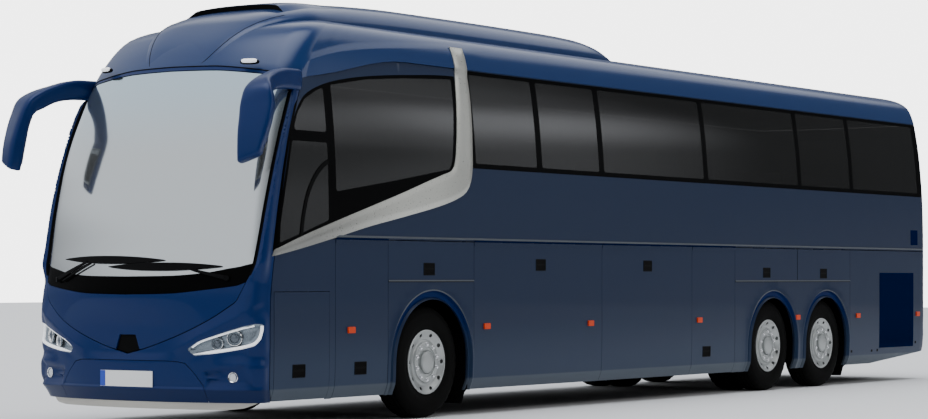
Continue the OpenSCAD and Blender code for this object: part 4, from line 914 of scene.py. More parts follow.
CAB_OUT = mm([[6540, 1560], [6495, 1770], [6423, 2062], [6345, 2356], [6277, 2567], [6188, 2761], [6068, 2894], [5882, 2980], [5625, 3050], [5106, 3128], [4493, 3181], [3735, 3220], [3690, 3220]])
REAR_X = -6.930
WAIST = 1.650
x_grid = np.concatenate([lin(-6.98, -6.4, 14), lin(-6.3, 6.0, 42), lin(6.1, 6.62, 14)])


def on_side(s):
    return lambda x, z, o=0.0: side(x, z, o, s)


def smooth_loop(pts, n):
    """Open curve through points, resampled."""
    P = np.array(pts, float)
    d = np.concatenate([[0], np.cumsum(np.linalg.norm(np.diff(P, axis=0), axis=1))])
    t = lin(0, d[-1], n)
    return list(zip(Pchip(list(zip(d, P[:, 0])))(t).tolist(), Pchip(list(zip(d, P[:, 1])))(t).tolist()))


trim_lo, trim_hi = smooth_loop(TRIM_LO, 70), smooth_loop(TRIM_HI, 70)
trim_loop = trim_lo + trim_hi
cab_out = smooth_loop(CAB_OUT, 60)
# glazed area of the cab: its front and top edge, then back along the blade
cab_loop = cab_out + [p for p in trim_hi if p[1] < 3.215 and p[0] < 6.5]
roof_edge = [(float(x), float(roof_side(x)) - 0.004) for x in lin(6.20, 4.4, 26)]
joint_edge = [(float(joint_x(z)) - 0.004, float(z)) for z in lin(WAIST + 0.004, 3.055, 30)]
wall_loop = [(REAR_X, WAIST + 0.004)] + joint_edge + [p for p in roof_edge if p[0] < joint_edge[-1][0] - 0.02] + [(REAR_X, 3.296)]
door_x0, door_x1, mid_x0, mid_x1 = 5.650, 6.490, -1.740, -0.800


def door_edge(z, g):
    return min(door_x1 - g, float(joint_x(z)) - 0.014 - g)


def door_loop(g):
    return [(door_x0 + g, 0.300 + g)] + [(door_edge(z, g), float(z)) for z in lin(0.300 + g, 2.900 - g, 30)] + [(door_x0 + g, 2.900 - g)]


second_r = [(min(x, 5.600), z) for x, z in SECOND]
for s, nm in ((1, "left"), (-1, "right")):
    f = on_side(s)
    if s > 0:
        w_holes = [cab_loop, box_loop(-6.915, 3.530, 2.352, 3.291)]
        outer = wall_loop
    else:
        cab_r = [(5.630, 1.830), (5.630, 3.046), (5.106, 3.128), (4.493, 3.181), (3.735, 3.220), (3.690, 3.215)] + [p for p in trim_hi if p[1] < 3.2 and p[0] < 5.60]
        outer = [(REAR_X, WAIST + 0.004), (mid_x0 - 0.006, WAIST + 0.004), (mid_x0 - 0.006, 2.906), (mid_x1 + 0.006, 2.906), (mid_x1 + 0.006, WAIST + 0.004), (door_x0 - 0.006, WAIST + 0.004), (door_x0 - 0.006, 2.906)]
        outer += [(door_edge(z, -0.006), float(z)) for z in lin(2.906, WAIST + 0.004, 16)]
        outer += wall_loop[1:]
        w_holes = [cab_r, box_loop(mid_x1 + 0.04, 3.530, 2.352, 3.291), box_loop(-6.915, mid_x0 - 0.04, 2.352, 3.291)]
    o = panel(nm + "_wall_skin", outer, f, FLANK_SHEEN_BLUE, t=0.014, holes=w_holes, grid=(x_grid, lin(1.68, 3.28, 25)), step=0.06)
    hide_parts(nm + "_wall")
    # black glazing bands and their panes
    panes = []
    for i, (xf, xr) in enumerate(PANES):
        lo, hi = (2.400, 3.254)
        spans = [(xf, xr)]
        if s < 0 and i == 2:
            spans = [(xf, mid_x1 + 0.07)]
        if s < 0 and i == 3:
            spans = [(mid_x0 - 0.07, xr)]
        panes += [(a0, b0, lo, hi, i) for a0, b0 in spans]
    for k, hole in enumerate(w_holes[1:]):
        mine = [p for p in panes if hole[0][0] < p[1] + 0.05 and hole[1][0] > p[0] - 0.05]
        loops = [rounded([(b0, lo), (a0, lo), (a0, hi), (b0, hi)], 0.030, 4) for a0, b0, lo, hi, i in mine]
        panel("%s_glazing_band_%d" % (nm, k), hole, f, BLACK, t=0.010, o=0.0015, holes=loops, grid=(x_grid, lin(2.4, 3.25, 5)), step=0.06)
        for j, lp in enumerate(loops):
            o = panel("%s_pane_%d_%d" % (nm, k, j), lp, f, GLASS, t=0.006, o=0.003, grid=(lin(-6.8, 3.4, 50), lin(2.4, 3.25, 12)), step=0.05)
            if s > 0 and j == 0:
                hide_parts("windows")
    if s > 0:
        cab_panes = [rounded(DRV_UP, 0.03, 4), rounded(DRV_LOW, 0.02, 4), rounded(SECOND, 0.03, 4)]
    else:
        cab_panes = [rounded(second_r, 0.03, 4)]
    panel(nm + "_cab_band", w_holes[0], f, BLACK, t=0.010, o=0.0015, holes=cab_panes, grid=(lin(3.6, 6.5, 40), lin(1.6, 3.2, 22)), step=0.04)
    for j, lp in enumerate(cab_panes):
        panel("%s_cab_pane_%d" % (nm, j), lp, f, GLASS, t=0.006, o=0.003, grid=(lin(3.7, 6.5, 50), lin(1.6, 3.2, 30)), step=0.04)
    if s > 0:
        arc = smooth_loop(mm([[6176, 1665], [6148, 1819], [6088, 2009], [5979, 2181], [5853, 2291], [5772, 2330]]), 30)
        strip("left_cab_arc", side([p[0] for p in arc], [p[1] for p in arc], 0.001, 1), 0.040, 0.008, GASKET, up=(0, 1, 0))
    # silver blade over the glass, thick in its middle
    tl = trim_loop
    if s < 0:
        tl = [(5.63, 1.668)] + [p for p in trim_lo if p[0] < 5.62] + [p for p in trim_hi if p[0] < 5.62] + [(5.63, 1.818)]
    def f_trim(x, z, o=0.0, f=f, tl=tl):
        e = near(np.stack([x, z], -1), tl, 1, 1)
        return f(x, z, o - 0.010 * smooth(0.0, 0.045, e) - 0.017 * smooth(3.22, 3.32, z))
    o = panel(nm + "_blade", tl, f_trim, SILVER, t=0.012, o=-0.006, grid=(lin(3.4, 6.6, 130), lin(1.45, 3.52, 80)), step=0.03)
    if s > 0:
        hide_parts("side_trim")

# ------------------------------------------------------------------ lower panels with wheel arches
TYRE_Z = 0.522
ARCHES = [(4.195, 0.585), (-2.695, 0.552), (-4.085, 0.552)]
SKIRT = 0.240


def arch_path(x, r, z0=SKIRT, n=40):
    return [(x - r, z0)] + [(x - r * math.cos(t), TYRE_Z + r * math.sin(t)) for t in lin(0, math.pi, n)] + [(x + r, z0)]


def arch_out(x, z, arches):
    """Distance outside the nearest arch edge."""
    d = np.full(np.shape(x), 9.0)
    for xc, r in arches:
        up = np.hypot(x - xc, z - TYRE_Z) - r
        dn = np.abs(x - xc) - r
        d = np.minimum(d, np.where(z > TYRE_Z, up, dn))
    return d


def arch_relief(x, z, arches):
    d = arch_out(x, z, arches)
    lip = 0.010 * (1 - smooth(0.0, 0.016, d))
    ridge = 0.010 * np.exp(-(((d - 0.090) / 0.020) ** 2)) * (d > 0.075) + 0.010 * smooth(0.066, 0.080, d) * (d <= 0.075) * 0
    hollow = 0.020 * smooth(0.010, 0.024, d) * (1 - smooth(0.070, 0.084, d))
    return lip + ridge - hollow


def tail_cut(x):
    """Lower edge of the rear skirt, which rises to the tail."""
    return SKIRT + 0.132 * np.clip((-5.4 - np.asarray(x, float)) / 1.63, 0, 1)


def lower(name, loop, s, arches=(), body="coach", lines=(), gx=None, m=None, t=0.016):
    f = on_side(s)
    fn = (lambda x, z, o=0.0: f(x, z, o - arch_relief(x, z, arches))) if arches else f
    xs = [p[0] for p in loop]
    extra = []
    for xc, r in arches:
        for e in (0.010, 0.017, 0.024, 0.070, 0.077, 0.084, 0.092, 0.110):
            a0, a1 = [], []
            for q in dense(arch_path(xc, r + e, SKIRT + 0.012, 60), 0.016)[:-1]:
                if abs(arch_out(np.array(q[0]), np.array(q[1]), arches) - e) < 0.0015:
                    extra.append(q)
        extra = [q for q in extra if q[1] > SKIRT + 0.01 and min(xs) + 0.01 < q[0] < max(xs) - 0.01]
    o = panel(name, loop, fn, m or FLANK_SHEEN_BLUE, t=t, grid=(gx if gx is not None else lin(min(xs) + 0.03, max(xs) - 0.03, max(4, int((max(xs) - min(xs)) / 0.10))), np.concatenate([[0.27, 0.30, 0.325, 0.345, 0.358, 0.372, 0.40, 0.45], lin(0.52, 1.62, 14)])), step=0.035, body=body, extra=extra)
    if arches:
        # the hollow round each arch takes the darker blue, as painted shade
        o.data.materials.append(ARCH)
        for q in o.data.polygons:
            if q.center.z > 0.36 and 0.012 < float(arch_out(q.center.x, q.center.z, arches)) < 0.082:
                q.material_index = 1
    return o


hatch_a = (6.545, 5.771, 1.187)
B, D, E, Fp = (5.686, 4.895), (3.501, 1.140), (1.140, -0.766), (-0.766, -1.761)
G_X, H_X = -4.742, REAR_X
g = 0.0025
TOPZ = WAIST - 0.004
first = True
for s, nm in ((1, "left"), (-1, "right")):
    jx = [(float(joint_x(z)) - 0.004, float(z)) for z in np.concatenate([lin(0.24, 0.42, 8), lin(0.5, 1.644, 10)])]
    pieces_ = []
    if s > 0:
        # front quarter around the hatch: above it and the strips on both sides
        loop = [(B[0] + g, SKIRT), (hatch_a[1] - g, SKIRT), (hatch_a[1] - g, hatch_a[2] + g), (6.552, hatch_a[2] + g), (6.552, 0.285)] + [p for p in jx if 0.285 < p[1] < 1.50] + [(float(joint_x(1.52)) - 0.004, 1.52), (6.30, 1.603), (6.05, TOPZ), (B[0] + g, TOPZ)]
        o = lower("left_front_quarter", loop, s)
        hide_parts("lower_panels")
        o = lower("left_front_hatch_skin", [(hatch_a[1], 0.248), (6.530, 0.248), (6.547, 0.29), (6.547, hatch_a[2] - g), (hatch_a[1], hatch_a[2] - g)], s, body="left_front_hatch")
        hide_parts("left_front_hatch")
        o = lower("left_rear_hatch_skin", box_loop(B[1] + g, B[0] - g, 0.245, TOPZ), s, body="left_rear_hatch")
        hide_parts("left_rear_hatch")
    else:
        lower("right_front_quarter", box_loop(B[1] + g, door_x0 - 0.006, SKIRT, TOPZ), s)
        lower("right_front_strip", [(door_x1 + 0.006, 0.30)] + [p for p in jx if p[1] > 0.285] + [(door_x1 + 0.006, TOPZ)], s)
    c_loop = [(D[0] + g, SKIRT)] + arch_path(*ARCHES[0]) + [(B[1] - g, SKIRT), (B[1] - g, TOPZ), (D[0] + g, TOPZ)]
    lower(nm + "_front_arch_panel", c_loop, s, [ARCHES[0]])
    o = lower(nm + "_luggage_door_front_skin", box_loop(D[1] + g, D[0] - g, 0.245, TOPZ), s, body=nm + "_luggage_door_front")
    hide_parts(nm + "_luggage_door_front")
    e0 = E[1] if s > 0 else mid_x1 + 0.012
    o = lower(nm + "_luggage_door_rear_skin", box_loop(e0 + g, E[0] - g, 0.245, TOPZ), s, body=nm + "_luggage_door_rear")
    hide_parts(nm + "_luggage_door_rear")
    if s > 0:
        o = lower("left_locker_door_skin", box_loop(Fp[1] + g, Fp[0] - g, 0.245, TOPZ), s, body="left_locker_door")
        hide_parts("left_locker_door")
    g_loop = [(G_X + g, SKIRT)] + arch_path(*ARCHES[2]) + arch_path(*ARCHES[1]) + [(Fp[1] - g, SKIRT), (Fp[1] - g, TOPZ), (G_X + g, TOPZ)]
    lower(nm + "_rear_arch_panel", g_loop, s, ARCHES[1:])
    h_loop = [(H_X, float(tail_cut(H_X)))] + [(float(x), float(tail_cut(x))) for x in lin(H_X + 0.1, -5.4, 10)] + [(G_X - g, SKIRT), (G_X - g, TOPZ), (H_X, TOPZ)]
    lower(nm + "_rear_quarter", h_loop, s)
    # painted shade: dark sheets behind the panel gaps, so that they show dark
    panel(nm + "_waist_shade_sheet", box_loop(-6.90, -4.70, 1.60, 1.70), on_side(s), MATT, t=0.004, o=0.050, grid=(lin(-6.88, -4.8, 12), ()), step=0.2)
    for k, (x1, x0) in enumerate(((5.72, 4.84), (3.55, 3.45), (1.19, 1.09), (-0.70, -0.83), (-1.71, -1.82), (-4.70, -4.80))):
        panel("%s_gap_shade_sheet_%d" % (nm, k), box_loop(x0, x1, 0.27, 1.64) if k else box_loop(4.88, 4.91, 0.27, 1.64), on_side(s), MATT, t=0.004, o=0.050, step=0.2)

# ------------------------------------------------------------------ details on the flanks
def body_at(x, s):
    """Body that carries the lower panel at x."""
    if s > 0 and hatch_a[1] < x < hatch_a[0]:
        return "left_front_hatch"
    if s > 0 and B[1] < x < B[0]:
        return "left_rear_hatch"
    side_ = "left" if s > 0 else "right"
    if D[1] < x < D[0]:
        return side_ + "_luggage_door_front"
    if (E[1] if s > 0 else mid_x1 + 0.012) < x < E[0]:
        return side_ + "_luggage_door_rear"
    if s > 0 and Fp[1] < x < Fp[0]:
        return "left_locker_door"
    return "coach"


HANDLES = [(6.204, 0.500), (5.311, 0.500), (4.246, 1.388), (2.315, 1.435), (0.202, 1.433), (-1.102, 0.493), (-2.534, 1.367), (-4.010, 1.359)]
MARKERS = [5.457, 3.285, 1.37, -0.929, -3.319, -4.963, -6.744]
for s, nm in ((1, "left"), (-1, "right")):
    f = on_side(s)
    for k, (x, z) in enumerate(HANDLES):
        if s < 0 and (x > 5.65 or mid_x0 - 0.1 < x < mid_x1 + 0.1):
            continue
        bd = body_at(x, s)
        frame_l = rounded(box_loop(x - 0.090, x + 0.090, z - 0.058, z + 0.058), 0.008, 3)
        hole = rounded(box_loop(x - 0.080, x + 0.080, z - 0.049, z + 0.049), 0.006, 3)
        panel("%s_handle_%d" % (nm, k), frame_l, f, MATT, t=0.012, o=-0.003, holes=[hole], step=0.03, body=bd)
        panel("%s_handle_pan_%d" % (nm, k), hole, f, GASKET, t=0.003, o=-0.0012, step=0.05, body=bd)
        panel("%s_handle_pull_%d" % (nm, k), box_loop(x - 0.078, x + 0.078, z - 0.005, z + 0.012), f, MATT, t=0.004, o=-0.0025, step=0.05, body=bd)
    for k, x in enumerate(MARKERS):
        if s < 0 and mid_x0 < x < mid_x1:
            continue
        bd = body_at(x, s)
        o = panel("%s_marker_%d" % (nm, k), rounded(box_loop(x - 0.052, x + 0.052, 0.815, 0.871), 0.006, 2), f, ORANGE, t=0.016, o=-0.014, step=0.03, body=bd)
    # hinge tubes of the flaps
    flaps = [(nm + "_luggage_door_front", D), (nm + "_luggage_door_rear", E if s > 0 else (E[0], mid_x1 + 0.012))]
    if s > 0:
        flaps += [("left_rear_hatch", B), ("left_locker_door", Fp)]
    for bd, (x1, x0) in flaps:
        tube(bd + "_hinge", [(x0 + 0.006, s * 1.282, 1.654), (x1 - 0.006, s * 1.282, 1.654)], 0.0065, GRILLE, body=bd, n=14)
        panel(bd + "_leaf", box_loop(x0 + 0.006, x1 - 0.006, 1.612, 1.646), f, FLANK_SHEEN_BLUE, t=0.006, o=-0.005, step=0.2, body=bd)
        # stiffening frame behind the flap
        for q, lp in enumerate((box_loop(x0 + 0.03, x1 - 0.03, 1.52, 1.56), box_loop(x0 + 0.03, x1 - 0.03, 0.42, 0.46))):
            panel("%s_stiffener_%d" % (bd, q), lp, f, MATT, t=0.026, o=0.016, step=0.3, body=bd)
    # seams above the arches: a dark line under a rail painted light grey as a painted highlight
    for k, (x1, x0, z) in enumerate(((4.890, 3.507, 1.279), (-1.765, -4.738, 1.270))):
        xs = lin(x0, x1, 40)
        strip("%s_arch_seam_%d" % (nm, k), side(xs, np.full(40, z - 0.007), -0.0008, s), 0.007, 0.002, GASKET, up=(0, s, 0))
        strip("%s_arch_rail_%d" % (nm, k), side(xs, np.full(40, z + 0.002), -0.003, s), 0.013, 0.008, RAIL_HIGHLIGHT, up=(0, s, 0))
    # moulding above the flaps and a bead round each arch, both painted light grey as a painted highlight
    for k, (x1, x0) in enumerate(((5.68, -6.90),) if s > 0 else ((5.63, mid_x1 + 0.02), (mid_x0 - 0.02, -6.90))):
        xs = lin(x0, x1, 60)
        strip("%s_waist_rail_%d" % (nm, k), side(xs, np.full(60, 1.676), -0.003, s), 0.018, 0.010, RAIL_HIGHLIGHT, up=(0, s, 0))
    for k, (xc, r) in enumerate(ARCHES):
        th = lin(0.30, math.pi - 0.30, 60)
        if k:
            th = lin(0.30 if k == 2 else 1.05, math.pi - (1.05 if k == 2 else 0.30), 50)
        bx, bz = xc - (r + 0.086) * np.cos(th), TYRE_Z + (r + 0.086) * np.sin(th)
        tube("%s_arch_bead_%d" % (nm, k), side(bx, bz, -0.008, s), [0.0015 + 0.0055 * float(smooth(0, 0.25, min(t, 1 - t))) for t in lin(0, 1, len(th))], RAIL_HIGHLIGHT, n=8)
    # mud flaps hanging behind the wheels
    for k, x in enumerate((3.548, -4.716)):
        edge = [(0.774, 0.110), (1.162, 0.110), (1.192, 0.215), (1.225, 0.250), (1.225, 0.560), (0.774, 0.560)]
        V = [(x + e, s * y, z) for e in (-0.006, 0.006) for y, z in edge]
        F = [tuple(range(6))[::-s], tuple(range(6, 12))[::s]] + [((j, (j + 1) % 6, 6 + (j + 1) % 6, 6 + j))[::s] for j in range(6)]
        add("%s_mud_flap_%d" % (nm, k), V, F, MATT)
    zs = lin(1.272, TOPZ, 8)
    strip(nm + "_arch_seam_mid", side(np.full(8, -3.319), zs, -0.0008, s), 0.006, 0.002, GASKET, up=(0, s, 0))
    # intake grille and small lid on the rear quarter
    panel(nm + "_grille", box_loop(-6.616, -5.593, 0.43, 1.37), f, GRILLE, t=0.004, o=-0.002, grid=(lin(-6.6, -5.6, 8), lin(0.45, 1.35, 8)), step=0.1)
    slats = [cube(-6.600, -5.610, s * (1.2745) if s > 0 else -1.2795, s * 1.2795 if s > 0 else -1.2745, z, z + 0.010) for z in lin(0.50, 1.34, 22)]
    V, F = join(slats)
    add(nm + "_grille_slats", V, F, GRILLE)
    panel(nm + "_small_lid", box_loop(-6.744, -6.536, 1.73, 1.92), f, GRILLE, t=0.004, o=-0.0025, step=0.1)
    for k, (x, z) in enumerate(((-4.80, 0.404), (-5.379, 0.400), (-5.540, 0.402), (-6.688, 0.479))):
        panel("%s_drain_%d" % (nm, k), rounded(box_loop(x - 0.022, x + 0.022, z - 0.015, z + 0.015), 0.008, 2), f, GASKET, t=0.003, o=-0.001, step=0.02)

# ------------------------------------------------------------------ passenger doors on the right
f = on_side(-1)
door_win = mm([[5735, 1560], [6420, 1560], [6370, 1900], [6300, 2240], [6230, 2480], [6090, 2740], [5980, 2810], [5735, 2810]])
mid_win = box_loop(mid_x0 + 0.09, mid_x1 - 0.09, 1.56, 2.81)
for nm, loop, win, px in (("entrance_door", door_loop(0.002), rounded(door_win, 0.04, 4), 5.945), ("middle_door", box_loop(mid_x0 + 0.002, mid_x1 - 0.002, 0.302, 2.898), rounded(mid_win, 0.05, 4), -1.195)):
    xs = [p[0] for p in loop]
    o = panel(nm + "_skin", loop, f, FLANK_SHEEN_BLUE, t=0.040, holes=[win], grid=(lin(min(xs), max(xs), 12), np.concatenate([[0.325, 0.345, 0.358, 0.372, 0.40], lin(0.5, 2.85, 18)])), step=0.05, body=nm)
    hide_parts(nm)
    wi = [(p[0] * 0.94 + 0.06 * np.mean([q[0] for q in win]), p[1] * 0.955 + 0.045 * 2.2) for p in win]
    panel(nm + "_frit", win, f, BLACK, t=0.008, o=0.003, holes=[wi], step=0.05, body=nm)
    panel(nm + "_glass", wi, f, GLASS, t=0.006, o=0.004, grid=(lin(min(xs), max(xs), 12), lin(1.5, 2.8, 14)), step=0.05, body=nm)
    parts = []
    for z in (0.620, 1.380):
        for e in (-0.030, 0.050):
            parts.append(cube(px - 0.020, px + 0.020, -1.240, -1.112, z + e, z + e + 0.020))
    V, F = join(parts)
    soft(add(nm + "_brackets", V, F, STEEL, body=nm), 0.003)
    for z in (0.620, 1.380):
        tube("%s_pin_%d" % (nm, int(z * 100)), [(px, -1.130, z - 0.030), (px, -1.130, z + 0.070)], 0.010, STEEL, body=nm, n=16)
    hx = min(xs) + 0.06 if nm == "entrance_door" else max(xs) - 0.06
    tube(nm + "_pull", [(hx, -1.225, 1.0), (hx, -1.185, 1.03), (hx, -1.185, 1.45), (hx, -1.225, 1.48)], 0.012, STEEL, body=nm, n=12)

# ------------------------------------------------------------------ rear
BW, BC = QR * 1.275 * RTH, QC * 1.275 * (math.pi / 2 - RTH)


def Br(u):
    u = np.asarray(u, float)
    k = np.abs(u)
    return np.sign(u) * np.where(k <= 1, k * BW, BW + (k - 1) * BC)


def Ur(b):
    b = np.asarray(b, float)
    k = np.abs(b)
    return np.sign(b) * np.where(k <= BW, k / BW, 1 + (k - BW) / BC)


def fr(b, z, o=0.0):
    return rear(Ur(b), z, o)


RU = float(Br(1.84))
eng = box_loop(-0.856, 0.856, 0.584, 1.662)
win_r = rounded(box_loop(-0.985, 0.985, 2.395, 3.185), 0.10, 6)
lampz = [rounded(box_loop(s * 1.06 - 0.075, s * 1.06 + 0.075, 0.90, 1.46), 0.04, 5) for s in (-1, 1)]
r_grid = (np.concatenate([lin(-1.4, -1.0, 16), lin(-0.9, 0.9, 13), lin(1.0, 1.4, 16)]), np.concatenate([[0.385, 0.40, 0.42, 0.46, 0.52, 0.6], lin(0.8, 3.28, 20)]))
o = panel("rear_wall_skin", box_loop(-RU, RU, 0.374, 3.294), fr, BLUE, t=0.016, holes=[eng, win_r] + lampz, grid=r_grid, step=0.05)
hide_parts("rear_wall")
o = panel("engine_door_skin", box_loop(-0.850, 0.850, 0.590, 1.646), fr, BLUE, t=0.020, grid=(lin(-0.8, 0.8, 12), lin(0.6, 1.6, 10)), step=0.06, body="engine_door")
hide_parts("engine_door")
for k, z in enumerate(lin(0.70, 1.20, 11)):
    panel("engine_louvre_%d" % k, box_loop(-0.70, 0.70, z, z + 0.022), fr, MATT, t=0.006, o=-0.006, grid=(lin(-0.6, 0.6, 9), ()), step=0.1, body="engine_door")
panel("rear_plate", box_loop(-0.26, 0.26, 1.36, 1.47), fr, PLATE, t=0.006, o=-0.006, grid=(lin(-0.25, 0.25, 7), ()), step=0.06, body="engine_door")
tube("engine_door_hinge_tube", [(-7.157, -0.2, 1.648), (-7.157, 0.2, 1.648)], 0.006, BLUE, body="engine_door", n=12)
panel("rear_window_band", win_r, fr, BLACK, t=0.010, o=0.002, holes=[rounded(box_loop(-0.94, 0.94, 2.44, 3.14), 0.08, 6)], step=0.05)
panel("rear_window_glass", rounded(box_loop(-0.94, 0.94, 2.44, 3.14), 0.08, 6), fr, GLASS, t=0.006, o=0.004, grid=(lin(-0.9, 0.9, 13), lin(2.5, 3.1, 8)), step=0.05)
# painted shade: a dark sheet behind the rear gaps, so that they show dark
panel("rear_shade_sheet", box_loop(-1.20, 1.20, 0.42, 1.62), fr, MATT, t=0.004, o=0.060, grid=(lin(-1.1, 1.1, 12), lin(0.5, 1.6, 8)), step=0.1)
for s, nm in ((1, "left"), (-1, "right")):
    c = s * 1.06
    panel("tail_lamp_bed_" + nm, lampz[0 if s < 0 else 1], fr, MATT, t=0.006, o=0.018, step=0.04)
    for k, (z0, z1, m_) in enumerate(((0.915, 1.040, LENS), (1.050, 1.165, AMBER), (1.175, 1.310, RED), (1.320, 1.445, RED))):
        panel("tail_lamp_%s_%d" % (nm, k), rounded(box_loop(c - 0.064, c + 0.064, z0, z1), 0.025, 5), fr, m_, t=0.018, o=-0.004, grid=(lin(c - 0.05, c + 0.05, 4), ()), step=0.03)
strip("rear_bumper_line", fr(lin(-RU, RU, 60), np.full(60, 0.575), -0.001), 0.006, 0.003, GASKET, up=(1, 0, 0))

# ------------------------------------------------------------------ mirrors: an arm that droops into a housing
# centre, half height (half depth in the head) and half width
MIR = np.array([[6.09, 1.16, 3.03, 0.092, 0.048], [6.15, 1.19, 3.03, 0.092, 0.048], [6.30, 1.205, 3.028, 0.092, 0.050], [6.45, 1.225, 3.012, 0.086, 0.055], [6.62, 1.255, 2.970, 0.078, 0.068], [6.752, 1.298, 2.915, 0.082, 0.098], [6.838, 1.338, 2.862, 0.072, 0.128], [6.895, 1.370, 2.74, 0.062, 0.1455], [6.930, 1.378, 2.63, 0.066, 0.138], [6.966, 1.377, 2.50, 0.072, 0.1245], [6.990, 1.377, 2.39, 0.069, 0.111], [7.003, 1.378, 2.32, 0.064, 0.102]])
ms = np.concatenate([[0], np.cumsum(np.linalg.norm(np.diff(MIR[:, :3], axis=0), axis=1))])
mp = [Pchip(list(zip(ms, MIR[:, k]))) for k in range(5)]
NM = 64
tt = np.concatenate([lin(0, ms[-1], NM), ms[-1] + np.array([0.010, 0.017, 0.021])])
tc = np.minimum(tt, ms[-1])
for s, nm in ((1, "left"), (-1, "right")):
    C = np.stack([p(tc) for p in mp[:3]], -1)
    T = np.gradient(C[:NM], axis=0)
    T = np.concatenate([T, np.tile(T[-1], (3, 1))])
    T /= np.linalg.norm(T, axis=1)[:, None]
    C[NM:] += T[NM:] * (tt[NM:] - ms[-1])[:, None]
    L = np.stack([-0.43 * smooth(2.96, 2.76, C[:, 2]), np.ones(len(tt)), np.zeros(len(tt))], -1)
    L = L - T * (L * T).sum(1)[:, None]
    L /= np.linalg.norm(L, axis=1)[:, None]
    N = np.cross(T, L)
    rn, rl = mp[3](tc), mp[4](tc)
    end = np.ones(len(tt))
    end[NM:] = (0.94, 0.82, 0.60)
    n_ = 40
    pw = 2 / 4.2
    V, F = [], []
    for i in range(len(tt)):
        drop = float(smooth(2.52, 2.32, C[i][2]))
        for k in range(n_):
            a = 2 * math.pi * k / n_
            ca, sa_ = math.cos(a), math.sin(a)
            la, na = math.copysign(abs(ca) ** pw, ca), math.copysign(abs(sa_) ** pw, sa_)
            q = C[i] + end[i] * (L[i] * rl[i] * la + N[i] * rn[i] * na)
            # the foot is cut on a slant, lower on its inner side
            V.append(q + np.array([0, 0, 0.045 * drop * la * end[i]]))
    for i in range(len(tt) - 1):
        for k in range(n_):
            a, b = i * n_ + k, i * n_ + (k + 1) % n_
            F.append((a, b, b + n_, a + n_))
    F += [tuple(range(n_ - 1, -1, -1)), tuple((len(tt) - 1) * n_ + k for k in range(n_))]
    V = np.array(V) * (1, s, 1)
    o = add("mirror_housing_" + nm, V, F, BLUE, sharp=50, flip=s > 0)
    if s > 0:
        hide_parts("mirrors")
    # glass on the rear face of the housing
    back = -1 if N[NM - 12][0] > 0 else 1
    rows_ = [i for i in range(NM) if 2.36 < C[i][2] < 2.80]
    W, F = [], []
    for i in rows_:
        for k in lin(-0.80, 0.80, 9):
            W.append(C[i] + L[i] * rl[i] * k + N[i] * back * (rn[i] * (1 - abs(k) ** 4.2) ** (1 / 4.2) + 0.003) + np.array([0, 0, 0.045 * float(smooth(2.52, 2.32, C[i][2])) * k]))
    for i in range(len(rows_) - 1):
        for k in range(8):
            a = i * 9 + k
            F.append((a, a + 1, a + 10, a + 9))
    W = np.array(W) * (1, s, 1)
    ga = add("mirror_glass_" + nm, W, F, MIRROR)
    sol = ga.modifiers.new("thick", "SOLIDIFY")
    sol.thickness = 0.004
    sol.offset = 0

# ------------------------------------------------------------------ wheels
T_HALF = 0.145


def tyre_profile():
    right = [(0.000, 0.5215), (0.020, 0.5215), (0.0215, 0.509), (0.0325, 0.509), (0.034, 0.5210), (0.066, 0.5200), (0.0675, 0.508), (0.0785, 0.508), (0.080, 0.5195), (0.098, 0.5170), (0.116, 0.5080), (0.126, 0.4950), (0.1335, 0.4700), (0.1370, 0.4650), (0.1400, 0.4400), (0.1445, 0.4050), (0.1450, 0.3750), (0.1420, 0.3480), (0.1400, 0.3440), (0.1370, 0.3280), (0.1310, 0.3110), (0.1220, 0.2960), (0.1150, 0.2870)]
    return [(-d, r) for d, r in reversed(right[1:])] + right


def oval(rc, ang, ht, hr, n=16):
    out = []
    for k in range(n):
        q = 2 * math.pi * k / n
        r, t = rc + hr * math.cos(q), ang + ht * math.sin(q) / rc
        out.append((r * math.cos(t), r * math.sin(t)))
    return out


def circle(r, n=48):
    return [(r * math.cos(2 * math.pi * k / n), r * math.sin(2 * math.pi * k / n)) for k in range(n)]


DISC = [(0.08, 0.128), (0.13, 0.128), (0.174, 0.128), (0.186, 0.126), (0.195, 0.118), (0.203, 0.1115), (0.215, 0.1100), (0.235, 0.1155), (0.255, 0.1240), (0.272, 0.1310), (0.286, 0.1345)]
CONVEX = Pchip(DISC)
COVER = Pchip([(r, d - 0.012 * (r < 0.25)) for r, d in DISC])


